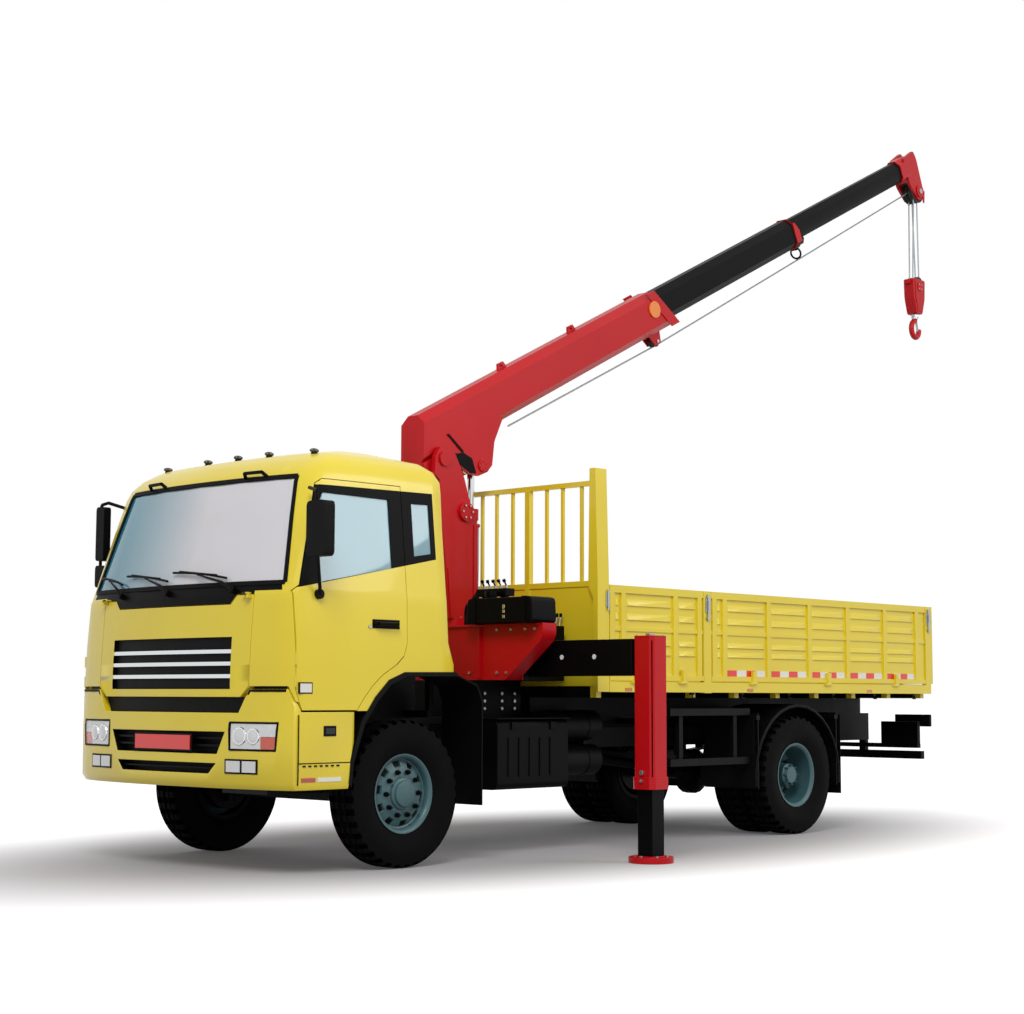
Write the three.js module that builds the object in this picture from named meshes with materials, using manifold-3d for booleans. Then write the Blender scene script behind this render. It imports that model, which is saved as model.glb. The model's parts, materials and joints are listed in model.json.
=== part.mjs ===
// Mobile crane: a two-axle cab-over truck with a dropside bed, and a slewing telescopic
// loader crane between cab and bed. Millimetres, +X forward, +Y left, +Z up.
// Pieces are placed from the front axle line, on the ground, at the middle of the truck;
// at the end the whole model moves so that its origin is at the bottom centre of its box.
import * as THREE from 'three';
import { mergeVertices } from 'three/addons/utils/BufferGeometryUtils.js';
import Module from 'manifold-3d';

const wasm = await Module();
wasm.setup();

// ---------------------------------------------------------------- driving dimensions
const SEAT = 0.5;                  // gap between pieces that seat on each other
const GAP = 6;                     // seam between panels that open

const WHEELBASE = 4774;
const TYRE_RADIUS = 525;
const TYRE_WIDTH = 270;
const BEAD_RADIUS = 262;           // where the tyre sits on its rim
const FLANGE_RADIUS = 283;
const RIM_WIDTH = 204;
const FRONT_TRACK_HALF = 1015;     // middle of a front tyre
const REAR_TRACK_HALF = 925;       // middle of a rear pair
const TWIN_SPACING = 320;          // between the two tyres of a pair
const KINGPIN_Y = 830;
const WHEEL_SIDES = 18;

const RAIL_OUTER = 455;            // outer face of the frame rail's web
const RAIL_FLANGE = 70;
const RAIL_WEB = 8;
const RAIL_BOTTOM = 790;
const RAIL_TOP = 1060;
const RAIL_FRONT = 1040;
const RAIL_REAR = -7130;

const CAB_HALF_WIDTH = 1240;
const CAB_WALL = 55;               // a wall or a door, outside to inside
const CAB_FRONT_WALL = 110;
const CAB_BOTTOM = 1115;
const CAB_FLOOR = 1470;            // floor over the arches and the engine
const FOOTWELL_FLOOR = 1200;
const CAB_REAR = -404;
const GLASS = 6;
const DOOR_HINGE = [1115, 1230];
const DASH_HALF = 870;              // clears the doors as they swing
const CAB_PIVOT = [1000, 850];
const PANEL_HINGE = [1240, 1915];
const PANEL_DEPTH = 50;

const BED_FRONT = -2000;
const BED_REAR = -7020;
const BED_HALF = 1200;             // inside of the gates' sills
const FLOOR_TOP = 1345;
const GATE_TOP = 2110;
const GATE_BOTTOM = 1352;
const GATE_IN = 1210;
const GATE_OUT = 1250;
const GATE_PIN = [1262, 1335];     // hinge line of a side gate
const POST_FRONT = -3350;
const POST_REAR = -3450;
const REAR_POST = -6930;
const HEADBOARD_X = -2030;
const HEADBOARD_HALF = 15;
const BEARER_TOP = 1301;

const SLEW_X = -1600;
const BASE_FRONT = -1290;
const BASE_REAR = -1930;
const BASE_BOTTOM = 1340;
const BASE_TOP = 1780;
const BEAM_X = -1616;
const BEAM_BOTTOM = 1375;
const BEAM_TOP = 1650;
const BEAM_DEPTH = 190;
const BEAM_WALL = 16;
const BEAM_LENGTH = 1820;
const INNER_BEAM = [146, 230];     // the right beam slides inside the left one
const HOUSING_HALF = 930;
const LEG_SIZE = 195;
const LEG_CHAMFER = 30;
const LEG_WALL = 12;
const LEG_BOTTOM = 538;
const LEG_TOP = 1660;
const LEG_Y_LEFT = 2068;
const LEG_Y_RIGHT = -1110;
const JACK_SIZE = 140;
const FOOT_RADIUS = 168;

const BOOM_ORIGIN = [-1130, 3050];   // where the level drawing of the boom starts
const BOOM_ANGLE = THREE.MathUtils.degToRad(26.8);
const BOOM_PIN_SETBACK = 190.5;      // from that start to the foot pin
const BOOM_PIN = [
  BOOM_ORIGIN[0] - BOOM_PIN_SETBACK * Math.cos(BOOM_ANGLE),
  BOOM_ORIGIN[1] + BOOM_PIN_SETBACK * Math.sin(BOOM_ANGLE)];
const BOOM_PIN_RADIUS = 36;
const LUFF_PIN_RADIUS = 30;
const PIN_CLEARANCE = 1;
const BOOM_HALF = 135;
const CHEEK_IN = 145;
const CHEEK_OUT = 190;
const LUFF_BASE = [-1780, 1880];
const LUFF_EYE = [-1800, 3130];
const BARREL_LENGTH = 890;
const BARREL_RADIUS = 62;
const ROD_RADIUS = 32;
const EYE_RADIUS = 50;
const SHEAVE = [-8940, 6930];
const BLOCK_TOP = 5920;
const BLOCK_BOTTOM = 5520;

// ---------------------------------------------------------------- materials
const finish = (color, roughness = 0.5, metalness = 0) =>
  new THREE.MeshStandardMaterial({ color, roughness, metalness });
const YELLOW = finish(0xe3cc2c, 0.35);
const RED = finish(0xc8202a, 0.35);
const BLACK = finish(0x16171a, 0.5);
const DARK = finish(0x24262a, 0.6);
const STEEL = finish(0x9aa0a4, 0.35, 1);
const CHROME = finish(0xd8dcde, 0.15, 1);
const RUBBER = finish(0x18181a, 0.9);
const RIM_PAINT = finish(0x5f7f82, 0.45);
const WINDOW = finish(0x9fc4c8, 0.08);
const CLOTH = finish(0x3a3d42, 0.9);
const PLASTIC = finish(0x2a2c30, 0.7);

const crane = new THREE.Group();

// ---------------------------------------------------------------- shape helpers
function solid(geometry) {
  const plain = geometry.clone();
  plain.deleteAttribute('normal');
  plain.deleteAttribute('uv');
  const merged = mergeVertices(plain, 1e-3);
  const place = merged.getAttribute('position');
  const triangles = new Uint32Array(merged.index.array);
  let volume = 0;
  const a = new THREE.Vector3();
  const b = new THREE.Vector3();
  const c = new THREE.Vector3();
  for (let i = 0; i < triangles.length; i += 3) {
    a.fromBufferAttribute(place, triangles[i]);
    b.fromBufferAttribute(place, triangles[i + 1]);
    c.fromBufferAttribute(place, triangles[i + 2]);
    volume += a.dot(b.cross(c));
  }
  if (volume < 0) {
    for (let i = 0; i < triangles.length; i += 3) {
      const first = triangles[i];
      triangles[i] = triangles[i + 1];
      triangles[i + 1] = first;
    }
  }
  return new wasm.Manifold(new wasm.Mesh({
    numProp: 3,
    vertProperties: new Float32Array(place.array),
    triVerts: triangles,
  }));
}

const join = (...pieces) => pieces.reduce((sum, piece) => sum.add(piece));
const cut = (body, ...tools) => tools.reduce((left, tool) => left.subtract(tool), body);
const common = (a, b) => a.intersect(b);

function box(x0, x1, y0, y1, z0, z1) {
  const geometry = new THREE.BoxGeometry(Math.abs(x1 - x0), Math.abs(y1 - y0), Math.abs(z1 - z0));
  geometry.translate((x0 + x1) / 2, (y0 + y1) / 2, (z0 + z1) / 2);
  return solid(geometry);
}

// an outline extruded along one axis: [y, z] along x, [x, z] along y, [x, y] along z
const AXES = {
  x: new THREE.Matrix4().makeBasis(
    new THREE.Vector3(0, 1, 0), new THREE.Vector3(0, 0, 1), new THREE.Vector3(1, 0, 0)),
  y: new THREE.Matrix4().makeBasis(
    new THREE.Vector3(1, 0, 0), new THREE.Vector3(0, 0, 1), new THREE.Vector3(0, -1, 0)),
  z: new THREE.Matrix4(),
};

function prism(axis, outline, from, to) {
  const shape = outline instanceof THREE.Shape
    ? outline
    : new THREE.Shape(outline.map(([a, b]) => new THREE.Vector2(a, b)));
  const depth = Math.abs(to - from);
  const geometry = new THREE.ExtrudeGeometry(shape, { depth, bevelEnabled: false, curveSegments: 6 });
  geometry.applyMatrix4(AXES[axis]);
  const start = axis === 'y' ? Math.max(from, to) : Math.min(from, to);
  const shift = { x: [start, 0, 0], y: [0, start, 0], z: [0, 0, start] }[axis];
  geometry.translate(...shift);
  return solid(geometry);
}

// an outline moved outwards by a distance, corner by corner
function grow(outline, distance) {
  const points = outline.map(([x, y]) => new THREE.Vector2(x, y));
  const sense = THREE.ShapeUtils.isClockWise(points) ? -1 : 1;
  const count = points.length;
  return points.map((point, i) => {
    const before = point.clone().sub(points[(i + count - 1) % count]).normalize();
    const after = points[(i + 1) % count].clone().sub(point).normalize();
    const outA = new THREE.Vector2(before.y, -before.x);
    const outB = new THREE.Vector2(after.y, -after.x);
    const middle = outA.clone().add(outB).normalize();
    const reach = (sense * distance) / Math.max(0.5, middle.dot(outA));
    return [point.x + middle.x * reach, point.y + middle.y * reach];
  });
}

// an outline with its corners rounded by arcs
function rounded(outline, radius) {
  const shape = new THREE.Shape();
  const points = outline.map(([x, y]) => new THREE.Vector2(x, y));
  points.forEach((corner, i) => {
    const before = points[(i + points.length - 1) % points.length].clone().sub(corner);
    const after = points[(i + 1) % points.length].clone().sub(corner);
    const reach = Math.min(radius, before.length() / 2.2, after.length() / 2.2);
    const start = corner.clone().add(before.setLength(reach));
    const end = corner.clone().add(after.setLength(reach));
    if (i === 0) shape.moveTo(start.x, start.y);
    else shape.lineTo(start.x, start.y);
    shape.quadraticCurveTo(corner.x, corner.y, end.x, end.y);
  });
  shape.closePath();
  return shape;
}

function rod(from, to, radius, sides = 12) {
  const a = new THREE.Vector3(...from);
  const b = new THREE.Vector3(...to);
  const geometry = new THREE.CylinderGeometry(radius, radius, a.distanceTo(b), sides);
  const turn = new THREE.Quaternion().setFromUnitVectors(
    new THREE.Vector3(0, 1, 0), b.clone().sub(a).normalize());
  geometry.applyQuaternion(turn);
  geometry.translate((a.x + b.x) / 2, (a.y + b.y) / 2, (a.z + b.z) / 2);
  return solid(geometry);
}

// a profile of [radius, y] turned about a line along y
function turned(profile, x, y, z, sides = WHEEL_SIDES) {
  const points = profile.map(([r, t]) => new THREE.Vector2(r, t));
  const geometry = new THREE.LatheGeometry(points, sides);
  geometry.translate(x, y, z);
  return solid(geometry);
}

const closed = (profile) => [...profile, profile[0]];
const mirrored = (body) => body.mirror([0, 1, 0]);
const bothSides = (body) => body.add(mirrored(body));

// a solid through a stack of rings of equal length, closed at both ends
function loft(rings) {
  const size = rings[0].length;
  const places = rings.flat(2);
  const bottom = rings.length * size;
  const middle = (ring) => [0, 1, 2].map((k) => ring.reduce((sum, p) => sum + p[k], 0) / size);
  places.push(...middle(rings[0]), ...middle(rings.at(-1)));
  const index = [];
  for (let level = 0; level < rings.length - 1; level += 1) {
    for (let i = 0; i < size; i += 1) {
      const a = level * size + i;
      const b = level * size + ((i + 1) % size);
      index.push(a, b, b + size, a, b + size, a + size);
    }
  }
  const top = (rings.length - 1) * size;
  for (let i = 0; i < size; i += 1) {
    const next = (i + 1) % size;
    index.push(bottom, next, i);
    index.push(bottom + 1, top + i, top + next);
  }
  const geometry = new THREE.BufferGeometry();
  geometry.setAttribute('position', new THREE.Float32BufferAttribute(places, 3));
  geometry.setIndex(index);
  return solid(geometry);
}

function add(name, body, material, group = crane) {
  const mesh = body.getMesh();
  const geometry = new THREE.BufferGeometry();
  geometry.setAttribute('position', new THREE.BufferAttribute(new Float32Array(mesh.vertProperties), 3));
  geometry.setIndex(new THREE.BufferAttribute(new Uint32Array(mesh.triVerts), 1));
  geometry.computeVertexNormals();
  const part = new THREE.Mesh(geometry, material);
  part.name = name;
  group.add(part);
}

const SIDES = [['left', 1], ['right', -1]];
const onSide = (body, side) => (side > 0 ? body : mirrored(body));

// ---------------------------------------------------------------- chassis
function chassisFrame() {
  const rail = prism('x', [
    [RAIL_OUTER, RAIL_BOTTOM], [RAIL_OUTER, RAIL_TOP],
    [RAIL_OUTER - RAIL_FLANGE, RAIL_TOP], [RAIL_OUTER - RAIL_FLANGE, RAIL_TOP - RAIL_WEB],
    [RAIL_OUTER - RAIL_WEB, RAIL_TOP - RAIL_WEB], [RAIL_OUTER - RAIL_WEB, RAIL_BOTTOM + RAIL_WEB],
    [RAIL_OUTER - RAIL_FLANGE, RAIL_BOTTOM + RAIL_WEB], [RAIL_OUTER - RAIL_FLANGE, RAIL_BOTTOM],
  ], RAIL_FRONT, RAIL_REAR);
  const reach = RAIL_OUTER - RAIL_WEB / 2;
  const crossmembers = [960, -2500, -3700, -5900, -7080].map((x) =>
    box(x - 35, x + 35, -reach, reach, RAIL_BOTTOM + 60, RAIL_TOP - 60));
  crossmembers.push(box(-1285, -1215, -reach, reach, 985, 1045));
  // side guards between the tanks and the rear wheels
  const guardFront = -3000;
  const guardRear = -WHEELBASE + TYRE_RADIUS + 130;
  const guardPosts = [guardFront - 180, guardRear + 180].map((x) => join(
    box(x - 25, x + 25, 1090, 1131, 640, 1120),
    box(x - 25, x + 25, RAIL_OUTER - RAIL_WEB / 2, 1131, 985, 1035)));
  const guards = join(
    box(guardFront, guardRear, 1130, 1160, 1060, 1120),
    box(guardFront, guardRear, 1130, 1160, 640, 700),
    ...guardPosts);
  // flaps before and behind the rear wheels, on arms from the rails
  const flaps = [-WHEELBASE + 610, -WHEELBASE - 610].map((x) => join(
    box(x - 6, x + 6, 630, 1215, 420, 1080),
    box(x - 25, x + 25, RAIL_OUTER - RAIL_WEB / 2, 1215, 1020, 1058)));
  return join(rail, mirrored(rail), ...crossmembers, bothSides(join(guards, ...flaps)));
}

function leafSprings(x, halfLength, low, high, y0, y1) {
  const pack = prism('y', [
    [x - halfLength, high], [x - halfLength * 0.45, low + 12], [x, low], [x + halfLength * 0.45, low + 12],
    [x + halfLength, high], [x + halfLength, high + 22], [x + halfLength * 0.45, low + 62], [x, low + 70],
    [x - halfLength * 0.45, low + 62], [x - halfLength, high + 22],
  ], y0, y1);
  const hangers = [x - halfLength, x + halfLength].map((end) =>
    box(end - 35, end + 35, y0, y1, high + 5, RAIL_BOTTOM - SEAT));
  return bothSides(join(pack, ...hangers));
}

function frontAxle() {
  const beam = box(-45, 45, -775, 775, 445, 525);
  const boss = bothSides(rod([0, KINGPIN_Y, 450], [0, KINGPIN_Y, 600], 48));
  const arm = bothSides(box(-45, 45, 760, KINGPIN_Y, 470, 580));
  const seat = bothSides(box(-60, 60, 385, 455, 515, 570));
  return join(beam, boss, arm, seat, leafSprings(0, 720, 560, 690, 385, 455));
}

function knuckle() {
  const lugs = join(
    rod([0, KINGPIN_Y, 600 + SEAT], [0, KINGPIN_Y, 655], 48),
    rod([0, KINGPIN_Y, 395], [0, KINGPIN_Y, 450 - SEAT], 48),
    box(-48, 48, KINGPIN_Y, 905, 600 + SEAT, 655),
    box(-48, 48, KINGPIN_Y, 905, 395, 450 - SEAT),
    box(-48, 48, 885, 905, 395, 655));
  const drum = rod([0, 885, TYRE_RADIUS], [0, FRONT_TRACK_HALF - 50 - SEAT, TYRE_RADIUS], 195, 20);
  return join(lugs, drum);
}

function rearAxle() {
  const x = -WHEELBASE;
  const end = REAR_TRACK_HALF - 120 - SEAT;
  const tube = rod([x, -end, TYRE_RADIUS], [x, end, TYRE_RADIUS], 75, 14);
  const banjo = turned([[0, -150], [130, -120], [205, -50], [205, 50], [130, 120], [0, 150]],
    x, 0, TYRE_RADIUS, 18);
  const nose = rod([x, 0, TYRE_RADIUS], [x + 360, 0, TYRE_RADIUS + 30], 85);
  const drums = bothSides(rod([x, 690, TYRE_RADIUS], [x, 790, TYRE_RADIUS], 200, 20));
  const seats = bothSides(box(x - 70, x + 70, 460, 540, 590, 630));
  const springs = leafSprings(x, 800, 620, 705, 460, 540);
  const brackets = bothSides(join(...[x - 800, x + 800].map((at) =>
    box(at - 35, at + 35, RAIL_OUTER + SEAT, 540, 700, 900))));
  return join(tube, banjo, nose, drums, seats, springs, brackets);
}

function driveShaft() {
  const from = [-1400 - SEAT, 0, 896];
  const to = [-WHEELBASE + 362, 0, TYRE_RADIUS + 30];
  const shaft = rod([-1440, 0, 896], [-WHEELBASE + 400, 0, TYRE_RADIUS + 33], 42);
  const yokes = join(rod(from, [-1440, 0, 896], 62), rod([-WHEELBASE + 450, 0, TYRE_RADIUS + 38], to, 62));
  return join(shaft, yokes);
}

function engineBlock() {
  const block = box(-400, 620, -330, 330, 600, 1130);
  const feet = bothSides(box(20, 180, 320, RAIL_OUTER - RAIL_WEB - SEAT, 860, 900));
  const gearbox = box(-1400, -390, -170, 170, 640, 975);
  return join(block, feet, gearbox);
}

function frontMudguards() {
  const beam = box(-500, -440, -900, 900, RAIL_TOP + SEAT, 1112);
  const mounts = bothSides(box(-450, -340, 480, 580, RAIL_TOP + SEAT, CAB_BOTTOM - SEAT));
  const skin = prism('y', [
    [-700, 420], [-700, 1180], [-645, 1300], [-430, 1375],
    [-430, 1363], [-637, 1290], [-688, 1176], [-688, 420],
  ], 800, 1220);
  const strut = box(-500, -460, 850, 900, 1100, 1360);
  return join(beam, mounts, bothSides(join(skin, cut(strut, box(-520, -420, 800, 1000, 1345, 1400)))));
}

add('chassis_frame', chassisFrame(), BLACK);
add('front_axle', frontAxle(), BLACK);
add('rear_axle', rearAxle(), BLACK);
add('drive_shaft', driveShaft(), DARK);
add('engine_block', engineBlock(), DARK);
add('front_mudguards', frontMudguards(), BLACK);
add('battery_box', prism('x', rounded([
  [RAIL_OUTER + SEAT, 1040], [RAIL_OUTER + SEAT, 500], [920, 500], [920, 1040]], 60), -1170, -1990), BLACK);
add('fuel_tank', prism('x', rounded([
  [-RAIL_OUTER - SEAT, 1040], [-RAIL_OUTER - SEAT, 500], [-1020, 500], [-1020, 1040]], 110), -2150, -3100), STEEL);

function rearBumper() {
  const x0 = -7120;
  const x1 = -7060;
  const bar = box(x0, x1, -1100, 1100, 613, 691);
  const rail = box(x0, x1, -1060, 1060, 720, 762);
  const arms = bothSides(box(x0, x1, RAIL_OUTER - RAIL_FLANGE, RAIL_OUTER, 613, RAIL_BOTTOM - SEAT));
  const boards = bothSides(box(x0 + 5, x1 - 5, 640, 1060, 750, 980));
  return join(bar, rail, arms, boards);
}
add('rear_bumper', rearBumper(), BLACK);

// ---------------------------------------------------------------- wheels
const HALF_TYRE = TYRE_WIDTH / 2;
const HALF_RIM = RIM_WIDTH / 2;

// one tyre's outline as [radius, y], from its outer bead over the tread to its inner bead
function tyreOutline(middle) {
  const half = [[BEAD_RADIUS, 80], [285, 88], [415, HALF_TYRE], [495, HALF_TYRE - 14], [TYRE_RADIUS, HALF_TYRE - 50]];
  return [
    ...half.map(([r, y]) => [r, middle + y]),
    ...half.map(([r, y]) => [r, middle - y]).reverse(),
  ];
}

function twinTyres() {
  const outer = tyreOutline(TWIN_SPACING / 2);
  const inner = tyreOutline(-TWIN_SPACING / 2);
  // a spacer band at the beads carries the pair as one piece
  const band = BEAD_RADIUS + 13;
  const space = TWIN_SPACING / 2 - 88;
  return [...outer.slice(0, -1), [band, space], [band, -space], ...inner.slice(1)];
}

function frontRim() {
  const bed = BEAD_RADIUS - SEAT;
  return [[0, 96], [80, 96], [80, 60], [240, 44], [250, HALF_RIM], [FLANGE_RADIUS, HALF_RIM],
    [FLANGE_RADIUS, HALF_RIM - 11], [bed, HALF_RIM - 11], [bed, 11 - HALF_RIM], [FLANGE_RADIUS, 11 - HALF_RIM],
    [FLANGE_RADIUS, -HALF_RIM], [250, -HALF_RIM], [250, 32], [84, 46], [84, -50], [0, -50]];
}

function rearRim() {
  const bed = BEAD_RADIUS - SEAT;
  const edge = TWIN_SPACING / 2 + HALF_RIM;
  return [[0, 215], [70, 215], [95, 150], [110, 24], [250, 24], [250, edge], [FLANGE_RADIUS, edge],
    [FLANGE_RADIUS, edge - 11], [bed, edge - 11], [bed, 11 - edge], [FLANGE_RADIUS, 11 - edge],
    [FLANGE_RADIUS, -edge], [250, -edge], [250, -24], [110, -24], [110, -120], [0, -120]];
}

for (const [side, sign] of SIDES) {
  add(`steering_knuckle_${side}`, onSide(knuckle(), sign), BLACK);
  add(`front_tyre_${side}`,
    onSide(turned(closed(tyreOutline(0)), 0, FRONT_TRACK_HALF, TYRE_RADIUS), sign), RUBBER);
  add(`front_rim_${side}`, onSide(turned(frontRim(), 0, FRONT_TRACK_HALF, TYRE_RADIUS), sign), RIM_PAINT);
  add(`rear_tyres_${side}`,
    onSide(turned(closed(twinTyres()), -WHEELBASE, REAR_TRACK_HALF, TYRE_RADIUS), sign), RUBBER);
  add(`rear_rims_${side}`, onSide(turned(rearRim(), -WHEELBASE, REAR_TRACK_HALF, TYRE_RADIUS), sign), RIM_PAINT);
}

// ---------------------------------------------------------------- cab
// level, front at the middle, rear, and half width
const CAB_LEVELS = [
  [CAB_BOTTOM, 1276, CAB_REAR, CAB_HALF_WIDTH],
  [1300, 1285, CAB_REAR, CAB_HALF_WIDTH],
  [1444, 1282, CAB_REAR, CAB_HALF_WIDTH],
  [1600, 1275, CAB_REAR + 54, CAB_HALF_WIDTH - 2],
  [1900, 1255, CAB_REAR + 68, CAB_HALF_WIDTH - 8],
  [1960, 1235, CAB_REAR + 69, CAB_HALF_WIDTH - 15],
  [2450, 1090, CAB_REAR + 66, CAB_HALF_WIDTH - 65],
  [2700, 1010, CAB_REAR + 58, CAB_HALF_WIDTH - 90],
  [2780, 970, CAB_REAR + 54, CAB_HALF_WIDTH - 105],
  [2860, 895, CAB_REAR + 74, CAB_HALF_WIDTH - 155],
  [2920, 800, CAB_REAR + 144, CAB_HALF_WIDTH - 230],
  [2990, 460, CAB_REAR + 424, CAB_HALF_WIDTH - 480],
  [3000, 300, CAB_REAR + 524, CAB_HALF_WIDTH - 640],
];
const BUMPER_LEVELS = [
  [585, 1262, 560, CAB_HALF_WIDTH - 12],
  [630, 1288, 560, CAB_HALF_WIDTH],
  [1000, 1292, 560, CAB_HALF_WIDTH],
  [1290, 1286, 560, CAB_HALF_WIDTH],
];
const ROOF_START = 2780;
const FRONT_CROWN = 110;
const CORNER_DEPTH = 130;
const FRONT_STATIONS = [0, 0.4, 0.7, 0.86, 0.95, 0.99, 1];
const REAR_CORNER = 60;

// a ring around the cab at one level, crowned in front and round at the corners
function cabRing(z, nose, rear, half, sink, frontSink) {
  const width = half - sink;
  const front = nose - frontSink;
  const back = rear + sink;
  const low = Math.min(CORNER_DEPTH, (front - back) * 0.3);
  const crown = Math.min(FRONT_CROWN, (front - back) * 0.25);
  const frontX = (f) => front - crown * f * f - low * (1 - (1 - f ** 5) ** 0.2);
  const round = Math.min(REAR_CORNER, width / 3);
  const halfRing = FRONT_STATIONS.map((f) => [frontX(f), width * f]);
  for (const angle of [0, 45, 90]) {
    const a = THREE.MathUtils.degToRad(angle);
    halfRing.push([back + round * (1 - Math.sin(a)), width - round * (1 - Math.cos(a))]);
  }
  halfRing.push([back, 0]);
  const other = halfRing.slice(1, -1).map(([x, y]) => [x, -y]).reverse();
  return [...halfRing, ...other].map(([x, y]) => [x, y, z]);
}

function cabBody(sink, frontSink = sink, levels = CAB_LEVELS) {
  return loft(levels.map(([z, nose, rear, half]) => {
    const height = z > ROOF_START ? z - sink * ((z - ROOF_START) / (3000 - ROOF_START)) : z;
    return cabRing(height, nose, rear, half, sink, z > ROOF_START ? sink : frontSink);
  }));
}

const ARCH = [[640, 400], [622, 780], [522, 1050], [400, 1210], [270, 1330], [117, 1387], [-460, 1393], [-460, 400]];
// the black gap between cab and bumper, as a line across the front
const CHEVRON = [[1260, 1100], [1190, 1282], [880, 1282], [785, 1202]];
const DOOR = [
  [570, 1121], [1058, 1121], [1109, 1255], [1109, 1925], [1070, 1962], [868, 2680], [830, 2712], [98, 2716],
  [98, 1590], [130, 1500], [200, 1440], [330, 1368], [430, 1288], [510, 1200],
];
const DOOR_WINDOW = [[905, 1990], [222, 2118], [222, 2610], [835, 2618], [905, 2480]];
const QUARTER_WINDOW = [[-3, 2217], [-179, 2245], [-179, 2605], [-3, 2600]];
const WINDSCREEN = [[-1105, 1985], [1105, 1985], [960, 2742], [-960, 2742]];
const PANEL = [
  [-870, 1288], [-785, 1208], [785, 1208], [870, 1288], [870, 1905], [715, 1905], [655, 1842],
  [-655, 1842], [-715, 1905], [-870, 1905],
];
const GRILLE = [[-690, 1262], [690, 1262], [690, 1618], [-690, 1618]];

const doorOpening = prism('y', grow(DOOR, GAP), 900, 1400);
const doorShape = prism('y', DOOR, 900, 1400);
const arch = prism('y', ARCH, 600, 1400);
const outside = cabBody(0);

function hingeBarrels(radius, grown = 0) {
  return join(...[1275, 1425].map((z) =>
    rod([...DOOR_HINGE, z - grown], [...DOOR_HINGE, z + 80 + grown], radius, 16)));
}

function chevronCut(inFront) {
  const below = CHEVRON.map(([y, z]) => [y, z]);
  const outline = [[1400, 900], [1400, 1100], ...below, ...below.map(([y, z]) => [-y, z]).reverse(),
    [-1400, 1100], [-1400, 900]];
  return prism('x', outline, inFront, 1500);
}

function panelBarrels(from, to) {
  return bothSides(rod([PANEL_HINGE[0], from, PANEL_HINGE[1]], [PANEL_HINGE[0], to, PANEL_HINGE[1]], 6));
}

function cabShell() {
  const cavity = common(cabBody(CAB_WALL, CAB_FRONT_WALL), join(
    box(-600, 1400, -1400, 1400, CAB_FLOOR, 3100),
    bothSides(box(640, 1300, 470, 1300, FOOTWELL_FLOOR, CAB_FLOOR + 20))));
  const tunnel = box(-500, 750, -450, 450, 1000, 1300);
  const recess = common(
    cut(cabBody(-20), cabBody(PANEL_DEPTH + 5)), prism('x', grow(PANEL, GAP), 900, 1500));
  const lugs = bothSides(join(
    box(1150, PANEL_HINGE[0], 800, 840, 1912, 1921),
    common(box(1150, 1200, 800, 840, 1905, 1925), outside)));
  const pivotPlates = bothSides(join(
    box(960, 1040, RAIL_OUTER + SEAT, 490, 800, CAB_BOTTOM + 10)));
  const shell = cut(outside, cavity, tunnel, recess, bothSides(arch), chevronCut(1062),
    prism('x', WINDSCREEN, 600, 1500), bothSides(prism('y', QUARTER_WINDOW, 1000, 1400)),
    bothSides(doorOpening));
  return join(shell, bothSides(hingeBarrels(8)), lugs, panelBarrels(800, 840), pivotPlates);
}

function bumper() {
  const body = cabBody(0, 0, BUMPER_LEVELS);
  const doorLine = [[540, 1109], [1066, 1109], [1122, 1262], [1122, 1400], [540, 1400]];
  const front = [[1400, 1500], [1400, 1060], [1250, 1085], [1186, 1262], [874, 1262],
    [780, 1100], [-780, 1100], [-874, 1262], [-1186, 1262], [-1250, 1085], [-1400, 1060], [-1400, 1500]];
  const inside = box(500, 1120, -930, 930, 500, 1500);
  const intake = prism('x', [[-580, 820], [580, 820], [655, 970], [-655, 970]], 1190, 1400);
  const lowIntake = prism('x', [[-500, 685], [500, 685], [570, 755], [-570, 755]], 1190, 1400);
  const lamps = bothSides(prism('x', [[710, 850], [1110, 845], [1130, 1040], [700, 1040]], 1110, 1400));
  const brackets = bothSides(box(1000, 1140, 620, 720, 950, CAB_BOTTOM - SEAT));
  const shell = cut(body, inside, prism('y', doorLine, -1400, 1400), prism('x', front, 1062, 1500),
    bothSides(arch), intake, lowIntake, lamps);
  return join(shell, brackets);
}

function frontPanel() {
  const skin = common(cut(outside, cabBody(PANEL_DEPTH)), prism('x', PANEL, 900, 1500));
  const openGrille = common(cut(cabBody(-20), cabBody(PANEL_DEPTH / 2)), prism('x', GRILLE, 900, 1500));
  const slats = [1350, 1436, 1520].map((z) => common(
    cut(cabBody(4), cabBody(PANEL_DEPTH - 10)), box(900, 1500, -700, 700, z - 14, z + 14)));
  const ears = bothSides(join(
    box(1190, PANEL_HINGE[0], 840 + SEAT, 860, 1882, 1904),
    box(PANEL_HINGE[0] - 22, PANEL_HINGE[0], 840 + SEAT, 860, 1882, 1921)));
  return join(cut(skin, openGrille), ...slats, ears, panelBarrels(840 + SEAT, 860));
}

function glass(axis, outline, from, to) {
  return common(cut(cabBody(8), cabBody(8 + GLASS)), prism(axis, grow(outline, -SEAT), from, to));
}

function door() {
  const skin = common(cut(outside, cabBody(CAB_WALL + 5)), doorShape);
  return cut(skin, prism('y', DOOR_WINDOW, 900, 1400), hingeBarrels(8.6, 1));
}

function mirror() {
  const head = prism('x', rounded([[1285, 2151], [1475, 2151], [1475, 2527], [1285, 2527]], 40), 1000, 1090);
  const arms = join(
    rod([950, 1150, 2640], [1045, 1340, 2600], 13, 8),
    rod([1045, 1340, 2606], [1045, 1340, 2500], 13, 8),
    rod([930, 1215, 1906], [930, 1262, 1906], 34, 10),
    rod([930, 1255, 1906], [1040, 1350, 2180], 13, 8));
  return cut(join(head, arms), cabBody(-SEAT));
}

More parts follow.
